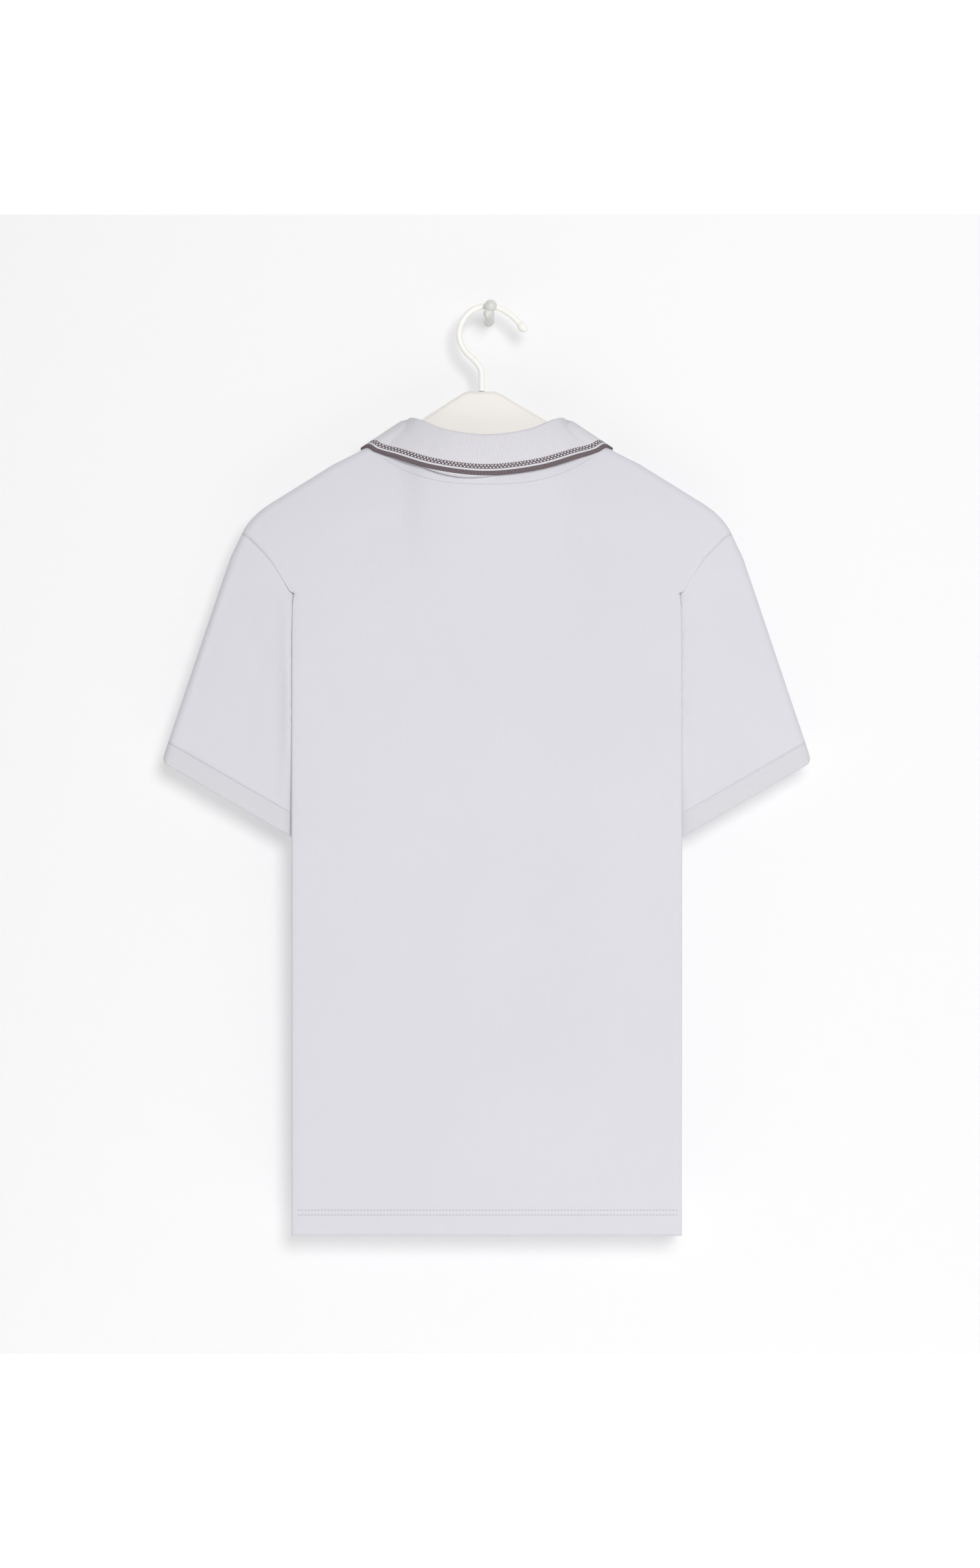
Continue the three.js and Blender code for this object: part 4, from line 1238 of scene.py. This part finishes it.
@dataclass
class Collar:
    """The flat-knit collar: stand, fold and fall in one piece."""

    form: ShirtForm
    palette: Palette
    fold_radius: float = 2.6
    lift_neck: float = 4.2
    lift_edge: float = 2.3
    neck_margin: float = 12.0
    rise_middle: float = 1.0
    rise_shoulder: float = 2.4
    rise_sharpness: int = 6
    stand_share: float = 0.9
    stand_cells: int = 5
    fold_cells: int = 12
    fall_cells: int = 18
    fall_settles: float = 0.2
    peek: float = 3.0
    peek_from: tuple[float, float] = (-7.0, 58.0)
    cut: tuple[float, float] = (0.533, 0.097)
    sections: tuple[int, ...] = (16, 16, 24, 24, 14, 14)
    stations: tuple[CollarStation, ...] = (
        CollarStation(0, (0, 27, -115.7), (0, 28.5, -150.6)),
        CollarStation(30, (38, 24, -110.6), (50, 26, -144.5)),
        CollarStation(60, (63, 12.6, -99.8), (91, 14, -131)),
        CollarStation(90, (70.5, 0, -98.3), (115.5, 0, -124.6)),
        CollarStation(115, (62, -15, -112), (104, -16, -150)),
        CollarStation(145, (38, -24, -152), (77, -22, -190)),
        CollarStation(177.5, (7, -25, -181), (43, -25, -230)),
    )

    def curve(self, key: str) -> Curve:
        """The whole curve of fold or edge, from one front edge to the other."""
        right = [Vector(getattr(station, key)) for station in self.stations]
        left = [Vector((-point.x, point.y, point.z)) for point in right[:0:-1]]
        return Curve((*left, *right))

    @cached_property
    def fold(self) -> Curve:
        """The axis that the cloth folds over."""
        return self.curve("fold")

    @cached_property
    def edge(self) -> Curve:
        """The free edge."""
        return self.curve("edge")

    def neck_seam(self, angle: float) -> Vector:
        """The point of the neck seam at an angle round the neck."""
        side = Side.BACK if angle <= 90 else Side.FRONT
        x = self.form.neck_half * math.sin(math.radians(angle))
        z = self.form.neck_z(side, x)
        return Vector((x, side.value * (self.form.body_y(side, x, z) - self.form.cloth / 2), z))

    def clear(self, point: Vector, lift: float) -> Vector:
        """A point of the fall kept clear of the shirt that it lies on."""
        form = self.form
        side = Side.BACK if point.y >= 0 else Side.FRONT
        rim = form.neck_z(side, min(point.x, form.neck_half)) + self.neck_margin
        if point.z > rim and point.x < form.neck_half - self.neck_margin:
            return point
        top = form.shoulder_z(point.x)
        below = (top - point.z) / form.slant
        radius = form.ridge_radius
        if below >= radius:
            away = max(abs(point.y), form.body_y(side, point.x, point.z) + lift)
            return Vector((point.x, side.value * away, point.z))
        scale = max(1.0, (radius + lift) / math.hypot(radius - below, point.y))
        return Vector((point.x, point.y * scale, top - (radius - (radius - below) * scale) * form.slant))

    def peeks(self, x: float) -> float:
        """How far the pale underside of the free edge shows below the dark band."""
        low, high = self.peek_from
        return self.peek * math.sin(clamp((x - low) / (high - low)) * math.pi)

    def section(self, t: float) -> tuple[list[Vector], list[float]]:
        """One cross-section from the seam over the fold to the free edge.

        Args:
            t: The share of the way from the middle of the back to the front edge.

        Returns:
            The outer face's points and each one's distance from the free edge along the cloth.
        """
        last = len(self.stations) - 1
        i = min(int(t * last), last - 1)
        angle = mix(self.stations[i].angle, self.stations[i + 1].angle, t * last - i)
        seam = self.neck_seam(angle)
        sideways = math.sin(math.radians(angle)) ** self.rise_sharpness
        rise = mix(self.rise_middle, self.rise_shoulder, sideways)
        whole = 0.5 + t / 2
        axis, tip, tangent = self.fold.point(whole), self.edge.point(whole), self.fold.tangent(whole)
        stand = (axis - seam).normalized()
        out = stand.cross(tangent).normalized()
        up = tangent.cross(out).normalized()
        seam = seam + stand * rise - out * (self.form.rib / 2)
        inner = axis - out * self.fold_radius
        points = [seam.lerp(inner, share) for share in steps(0, self.stand_share, self.stand_cells)]
        points += [
            axis + out * (self.fold_radius * math.cos(turn)) + up * (self.fold_radius * math.sin(turn))
            for turn in steps(math.pi, 0, self.fold_cells)
        ]
        start = points[-1]
        settles = self.fall_settles
        for share in steps(0, 1, self.fall_cells)[1:]:
            lift = mix(self.lift_neck, self.lift_edge, clamp((share - settles) / (1 - settles)))
            point = start.lerp(tip, share)
            cleared = self.clear(point, lift)
            points.append(point.lerp(cleared, smooth_step(share / settles)))
        inward = [0.0]
        for a, b in zip(points[::-1], points[-2::-1]):
            inward.append(inward[-1] + (b - a).length)
        return points, inward[::-1]

    @cached_property
    def made(self) -> list[tuple[list[Vector], list[float], float]]:
        """All sections of one half, each with its distance along the free edge."""
        count = len(self.sections)
        shares = joined(*(steps(i / count, (i + 1) / count, n) for i, n in enumerate(self.sections)))
        found = []
        along = 0.0
        for t in shares:
            points, inward = self.section(t)
            if found:
                along += (points[-1] - found[-1][0][-1]).length
            found.append((points, inward, along))
        return found

    def build(self) -> None:
        """Makes the collar."""
        sheet = SheetMesh("collar_rib_knit")
        columns = list(range(len(self.made)))
        rows = list(range(len(self.made[0][0])))
        for way in (1, -1):

            def place(i: float, j: float, way: int = way) -> Point:
                points = self.made[int(i)][0]
                point = points[int(j)]
                if j == rows[-1]:
                    point = point + (point - points[-2]).normalized() * self.peeks(way * point.x)
                return way * point.x, point.y, point.z

            def flat(i: float, j: float, way: int = way) -> tuple[float, float]:
                points, inward, along = self.made[int(i)]
                low = self.peeks(way * points[-1].x) if j == rows[-1] else 0.0
                return way * along, inward[int(j)] - low

            sheet.patch(columns, rows, place, flat, flip=way < 0)
        area = sheet.flat_area()
        collar = sheet.finished(self.form.rib, [self.palette.made["tipped"], self.palette.made["pale_rib"]])
        dress(collar, Slot.COLLAR, "collar")
        length = 2 * self.made[-1][2] * MM
        LOG.info("collar length %.4f area %.4f", length, area)


@dataclass
class Placket:
    """The front's two strips with their stitches, buttonholes and buttons."""

    form: ShirtForm
    palette: Palette
    proud: float = 0.4
    button_radius: float = 5.75
    button_thick: float = 2.6
    buttons: tuple[float, ...] = (-214.0, -262.0, -310.0)
    dish: float = 0.6
    hole_spot: float = 1.15
    hole_radius: float = 0.72
    hole_thick: float = 0.05
    thread_below_rim: float = 0.45
    thread_size: tuple[float, float, float] = (1.5, 0.34, 0.3)
    slit_half: float = 0.75
    slit_lift: float = 0.05
    slit_size: tuple[float, float, float] = (0.62, 0.24, 8.0)
    row_inset: float = 1.6
    row_foot: float = 1.8
    row_below_neck: float = 6.0
    foot_box: float = 12.0
    slope_reach: float = 4.0
    cells: tuple[int, int] = (12, 60)
    under_cut: tuple[float, float] = (0.0295, 0.1585)
    top_cut: tuple[float, float] = (0.031, 0.1585)

    def point(self, x: float, z: float, proud: float) -> Point:
        """A point on a strip that stands proud of the front's form."""
        return x, -(self.form.body_y(Side.FRONT, x, z) + proud), z

    def strip(self, name: str, node: str, half: float, proud: float, bottom: float) -> bpy.types.Object:
        """One strip of cloth."""
        sheet = SheetMesh(name)

        def height(x: float, t: float) -> float:
            return mix(bottom, self.form.neck_z(Side.FRONT, x), t)

        across, up = self.cells
        sheet.patch(
            steps(-half, half, across),
            steps(0, 1, up),
            lambda x, t: self.point(x, height(x, t), proud),
            lambda x, t: (x, height(x, t)),
        )
        area = sheet.flat_area()
        strip = dress(sheet.finished(self.form.cloth, [self.palette.made["jersey"]]), Slot.SHIRT, node)
        LOG.info("%s area %.5f", name, area)
        return strip

    def stitches(self) -> bpy.types.Object:
        """Rows along both long edges and across the foot of the top strip."""
        bm = bmesh.new()
        side = self.form.placket_width / 2 - self.row_inset
        foot = self.form.placket_end_z + self.row_foot
        top = self.form.necks[Side.FRONT].z - self.row_below_neck
        lines = [((x, foot), (x, top)) for x in (-side, side)]
        lines += [((-side, z), (side, z)) for z in (foot, foot + self.foot_box)]
        for (ax, az), (bx, bz) in lines:
            Stitching(pitch=2.8, length=2.0).row(
                bm,
                lambda t, a=(ax, az), b=(bx, bz): Vector(
                    self.point(mix(a[0], b[0], t), mix(a[1], b[1], t), self.proud)
                ),
                lambda t: Vector((0, -1, 0)),
            )
        return mesh_object("placket_stitches", bm, [self.palette.made["thread"]])

    def slope(self, z: float) -> Matrix:
        """The turn that lays a button on the cloth at a height."""
        low, high = (self.form.body_y(Side.FRONT, 0, z + d) for d in (-self.slope_reach, self.slope_reach))
        lean = (low - high) / (2 * self.slope_reach)
        return Matrix.Rotation(-math.atan(lean), 4, "X")

    def buttonholes(self) -> bpy.types.Object:
        """A thread-edged upright slit behind each button."""
        bm = bmesh.new()
        for z in self.buttons:
            for x in (-self.slit_half, self.slit_half):
                place = Matrix.Translation(in_frame(self.point(x, z, self.proud + self.slit_lift)))
                size = Matrix.Diagonal((*(side * MM for side in self.slit_size), 1))
                matrix = place @ self.slope(z) @ size
                bmesh.ops.create_icosphere(bm, subdivisions=2, radius=1.0, matrix=matrix)
        return mesh_object("buttonholes", bm, [self.palette.made["thread"]])

    def button(self, index: int, z: float) -> bpy.types.Object:
        """A dished four-hole button, its thread and a thin dark disc of painted shade in each hole."""
        bm = bmesh.new()
        r, h = self.button_radius, self.button_thick
        profile = (
            (0, 0), (r - 0.5, 0), (r - 0.15, 0.2), (r, 0.6), (r, h - 0.7), (r - 0.2, h - 0.25), (r - 0.7, h),
            (r - 1.2, h - 0.2), (r - 1.7, h - self.dish), (0, h - self.dish),
        )
        verts = [bm.verts.new((x * MM, 0, y * MM)) for x, y in profile]
        edges = [bm.edges.new(pair) for pair in zip(verts, verts[1:])]
        bmesh.ops.spin(
            bm,
            geom=[*verts, *edges],
            cent=(0, 0, 0),
            axis=(0, 0, 1),
            angle=2 * math.pi,
            steps=40,
            use_merge=True,
        )
        bmesh.ops.remove_doubles(bm, verts=bm.verts, dist=SAME_SPOT)
        bmesh.ops.recalc_face_normals(bm, faces=bm.faces)
        whole = len(bm.faces)
        # The holes are not cut: a thin dark disc in each is painted shade.
        holes = [(x * self.hole_spot, y * self.hole_spot) for x in (-1, 1) for y in (-1, 1)]
        for x, y in holes:
            spot = Matrix.Translation((x * MM, y * MM, (h - self.dish) * MM))
            bmesh.ops.create_cone(
                bm,
                cap_ends=True,
                segments=16,
                radius1=self.hole_radius * MM,
                radius2=self.hole_radius * MM,
                depth=self.hole_thick * MM,
                matrix=spot,
            )
        bm.faces.ensure_lookup_table()
        for face in bm.faces[whole:]:
            face.material_index = 1
        ringed = len(bm.faces)
        for y in (-self.hole_spot, self.hole_spot):
            spot = Matrix.Translation((0, y * MM, (h - self.thread_below_rim) * MM))
            size = Matrix.Diagonal((*(side * MM for side in self.thread_size), 1))
            bmesh.ops.create_icosphere(bm, subdivisions=2, radius=1.0, matrix=spot @ size)
        bm.faces.ensure_lookup_table()
        for face in bm.faces[ringed:]:
            face.material_index = 2
        away = self.form.body_y(Side.FRONT, 0, z) + self.proud + self.form.seam_gap
        place = Matrix.Translation(in_frame((0, -away, z)))
        matrix = place @ self.slope(z) @ Matrix.Rotation(math.pi / 2, 4, "X")
        bmesh.ops.transform(bm, matrix=matrix, verts=bm.verts)
        made = self.palette.made
        return mesh_object(f"button_{index}_resin", bm, [made["button"], made["hole"], made["thread"]])

    def build(self) -> None:
        """Makes the strips, the stitches and the buttons."""
        half, end = self.form.placket_width / 2, self.form.placket_end_z
        under_proud = self.proud - self.form.cloth - self.form.seam_gap
        under = self.strip("placket_under_cloth", "placket_under", half - 1, under_proud, end + 1)
        top = self.strip("placket_top_cloth", "placket_top", half, self.proud, end + self.form.seam_gap)
        rows = [dress(self.stitches(), Slot.SHIRT), dress(self.buttonholes(), Slot.SHIRT)]
        for index, z in enumerate(self.buttons, 1):
            dress(self.button(index, z), Slot.BUTTON, f"button_{index}")


@dataclass
class Hanger:
    """The hanger's arms, its hook and the wall peg."""

    palette: Palette
    half_thick: float = 4.5
    round: float = 3.8
    top: tuple[tuple[float, float], ...] = (
        (-201, -178), (-160, -152), (-120, -129.8), (-90, -115.5), (-72, -107.5), (-57.4, -99.3), (-13, -73),
        (-7.8, -70.7), (17.8, -70.7), (23, -73), (54, -93), (72, -105), (90, -114), (120, -129.8),
        (160, -152), (201, -178),
    )
    bottom: tuple[tuple[float, float], ...] = (
        (204, -188), (196, -193), (120, -150), (50, -122), (5, -114), (-50, -122), (-120, -150),
        (-196, -193), (-204, -188),
    )
    hook_radius: float = 2.8
    tip_radius: float = 4.2
    tip_length: float = 5.6
    hook: tuple[tuple[float, float], ...] = (
        (4.7, -70.4), (4.7, -60), (5.3, -51), (10.4, -43), (17.8, -35.7), (22.9, -28.2), (25.3, -20),
        (24.4, -11.5), (21, -3.8), (15, 2.8), (7, 6.9), (-2, 7.9), (-11, 6.2), (-19, 2), (-26, -3.8),
        (-32.5, -11.2),
    )
    peg_radius: float = 4.8
    peg_reach: float = 46.0
    nose_radius: float = 5.1
    ball_at: tuple[float, float, float] = (-1.6, 48.0, 6.6)
    ball_radius: float = 5.7
    bevel_cells: int = 8
    bar_facets: int = 6
    hook_cells: int = 90
    tip_facets: tuple[int, int] = (32, 18)
    peg_facets: int = 40
    ball_facets: tuple[int, int] = (40, 24)

    def arms(self) -> bpy.types.Object:
        """The body from its outline, with rounded edges."""
        bm = bmesh.new()
        verts = [bm.verts.new(in_frame((x, self.half_thick, z))) for x, z in (*self.top, *self.bottom)]
        face = bm.faces.new(verts)
        made = bmesh.ops.extrude_face_region(bm, geom=[face])["geom"]
        moved = [item for item in made if isinstance(item, bmesh.types.BMVert)]
        bmesh.ops.translate(bm, vec=(0, -2 * self.half_thick * MM, 0), verts=moved)
        bmesh.ops.recalc_face_normals(bm, faces=bm.faces)
        along = [edge for edge in bm.edges if abs(edge.verts[0].co.y - edge.verts[1].co.y) < SAME_SPOT]
        bmesh.ops.bevel(
            bm,
            geom=along,
            offset=self.round * MM,
            segments=self.bevel_cells,
            profile=0.5,
            affect="EDGES",
            material=-1,
            clamp_overlap=True,
        )
        return mesh_object("hanger_body_cream", bm, [self.palette.made["hanger"]])

    def hook_piece(self) -> bpy.types.Object:
        """The hook: a round bar along its line with a thicker round tip."""
        curve = Curve(tuple(in_frame((x, 0, z)) for x, z in self.hook))
        line = bpy.data.curves.new("hook_line", "CURVE")
        line.dimensions = "3D"
        line.bevel_depth = self.hook_radius * MM
        line.bevel_resolution = self.bar_facets
        line.use_fill_caps = True
        spline = line.splines.new("POLY")
        shares = steps(0, 1, self.hook_cells)
        spline.points.add(len(shares) - 1)
        for point, share in zip(spline.points, shares):
            point.co = (*curve.point(share), 1)
        guide = bpy.data.objects.new("hook_line", line)
        bm = bmesh.new()
        bm.from_mesh(guide.to_mesh())
        bpy.data.objects.remove(guide)
        bpy.data.curves.remove(line)
        tip = Matrix.Translation(in_frame((self.hook[-1][0], 0, self.hook[-1][1])))
        along = curve.tangent(1).to_track_quat("Z", "Y").to_matrix().to_4x4()
        size = Matrix.Diagonal((1, 1, self.tip_length / self.tip_radius, 1))
        round_steps, long_steps = self.tip_facets
        bmesh.ops.create_uvsphere(
            bm,
            u_segments=round_steps,
            v_segments=long_steps,
            radius=self.tip_radius * MM,
            matrix=tip @ along @ size,
        )
        return mesh_object("hanger_hook_cream", bm, [self.palette.made["hook"]])

    def peg(self) -> bpy.types.Object:
        """The wall peg with its upturned ball."""
        bm = bmesh.new()
        turn = Matrix.Rotation(math.pi / 2, 4, "X")
        middle = Matrix.Translation((0, self.peg_reach / 2 * MM, 0))
        bmesh.ops.create_cone(
            bm,
            cap_ends=True,
            segments=self.peg_facets,
            radius1=self.peg_radius * MM,
            radius2=self.peg_radius * MM,
            depth=self.peg_reach * MM,
            matrix=middle @ turn,
        )
        stem = len(bm.faces)
        round_steps, long_steps = self.ball_facets
        for spot, size in (((0, self.peg_reach, 0), self.nose_radius), (self.ball_at, self.ball_radius)):
            place = Matrix.Translation(Vector(spot) * MM)
            bmesh.ops.create_uvsphere(
                bm, u_segments=round_steps, v_segments=long_steps, radius=size * MM, matrix=place
            )
        bm.faces.ensure_lookup_table()
        for face in bm.faces[stem:]:
            face.material_index = 1
        return mesh_object("wall_peg_white", bm, [self.palette.made["peg"], self.palette.made["knob"]])

    def build(self) -> None:
        """Makes the three hard pieces."""
        dress(self.arms(), Slot.HANGER, "hanger_body")
        dress(self.hook_piece(), Slot.HANGER, "hanger_hook")
        dress(self.peg(), Slot.PEG, "wall_peg")


@dataclass(frozen=True)
class Studio:
    """The wall, the floor, the light and the camera."""

    wall_top: float = 0.100
    wall_foot: float = -0.962
    wall_half: float = 1.6
    floor_reach: float = 1.8
    wall_colour: tuple[int, int, int] = (203, 203, 204)
    wall_glow: float = 0.345
    white: tuple[int, int, int] = (246, 246, 246)
    board_glow: float = 0.9
    board_gap: float = 0.02
    board_beyond: float = 0.8
    floor_glow: float = 0.1
    floor_z: float = -1.25
    camera_at: tuple[float, float, float] = (-0.001, 2.638, -0.431)
    lens: float = 65.0
    sensor: float = 36.0
    matt: float = 0.95
    middle_z: float = -0.43
    key_from: tuple[float, float, float] = (-0.17, 1.0, 0.24)
    key_distance: float = 3.0
    key_size: float = 1.1
    key_power: float = 50.0
    world_strength: float = 0.35

    def one_sided(self, name: str, colour: tuple[int, int, int], glow: float) -> bpy.types.Material:
        """A matt finish that only shows from its front, with a glow that keeps its shadows soft."""
        material, graph, shader = Finish(name, colour, self.matt).start()
        shader.inputs["Emission Color"].default_value = (1, 1, 1, 1)
        shader.inputs["Emission Strength"].default_value = glow
        facing = graph.add("ShaderNodeNewGeometry")
        clear = graph.add("ShaderNodeBsdfTransparent")
        choice = graph.add("ShaderNodeMixShader")
        end = next(node for node in graph.tree.nodes if node.type == "OUTPUT_MATERIAL")
        graph.feed(choice.inputs[0], facing.outputs["Backfacing"])
        graph.feed(choice.inputs[1], shader.outputs[0])
        graph.feed(choice.inputs[2], clear.outputs[0])
        graph.feed(end.inputs[0], choice.outputs[0])
        return material

    def plane(
        self, name: str, matrix: Matrix, colour: tuple[int, int, int], glow: float
    ) -> bpy.types.Object:
        """One flat piece of the stage."""
        bm = bmesh.new()
        bmesh.ops.create_grid(bm, x_segments=1, y_segments=1, size=1.0, matrix=matrix)
        return mesh_object(name, bm, [self.one_sided(name, colour, glow)])

    def upright(self, name: str, y: float, low: float, high: float, glow: float) -> bpy.types.Object:
        """An upright piece of the stage between two heights."""
        place = Matrix.Translation((0, y, (low + high) / 2)) @ Matrix.Rotation(-math.pi / 2, 4, "X")
        size = Matrix.Diagonal((self.wall_half, (high - low) / 2, 1, 1))
        colour = self.wall_colour if y == 0 else self.white
        return self.plane(name, place @ size, colour, glow)

    def build(self) -> None:
        """Makes the stage, the lights and the camera."""
        wall = self.upright("studio_wall", 0, self.wall_foot, self.wall_top, self.wall_glow)
        top = self.wall_top + self.board_beyond
        board = self.upright("studio_white_board", -self.board_gap, self.floor_z, top, self.board_glow)
        floor = self.plane(
            "studio_floor",
            Matrix.Translation((0, (self.floor_reach - self.board_gap) / 2, self.floor_z))
            @ Matrix.Diagonal((self.wall_half, (self.floor_reach + self.board_gap) / 2, 1, 1)),
            self.white,
            self.floor_glow,
        )
        self.light()
        self.camera()

    def light(self) -> None:
        """One large soft light from the upper right and a pale world."""
        scene = bpy.context.scene
        world = bpy.data.worlds.new("studio_world")
        world.use_nodes = True
        back = world.node_tree.nodes["Background"]
        back.inputs["Color"].default_value = (1, 1, 1, 1)
        back.inputs["Strength"].default_value = self.world_strength
        scene.world = world
        scene.view_settings.view_transform = "Standard"
        away = Vector(self.key_from).normalized()
        middle = Vector((0, 0, self.middle_z))
        lamp = bpy.data.lights.new("key", "AREA")
        lamp.shape = "DISK"
        lamp.size = self.key_size
        lamp.energy = self.key_power
        key = bpy.data.objects.new("key", lamp)
        key.location = middle + away * self.key_distance
        key.rotation_euler = away.to_track_quat("Z", "Y").to_euler()
        scene.collection.objects.link(key)

    def camera(self) -> None:
        """The camera at the photo's angle."""
        data = bpy.data.cameras.new("camera")
        data.lens = self.lens
        data.sensor_width = self.sensor
        camera = bpy.data.objects.new("camera", data)
        camera.location = self.camera_at
        camera.rotation_euler = (math.pi / 2, 0, math.pi)
        bpy.context.scene.collection.objects.link(camera)
        bpy.context.scene.camera = camera


def main() -> None:
    """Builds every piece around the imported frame."""
    logging.basicConfig(level=logging.INFO, format="%(name)s: %(message)s")
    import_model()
    form = ShirtForm()
    palette = Palette()
    for side in Side:
        Panel(form, side, palette).build()
    for way in (1, -1):
        Sleeve(form, way, palette).build()
    Collar(form, palette).build()
    Placket(form, palette).build()
    Hanger(palette).build()
    Studio().build()
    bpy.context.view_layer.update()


if __name__ == "__main__":
    main()
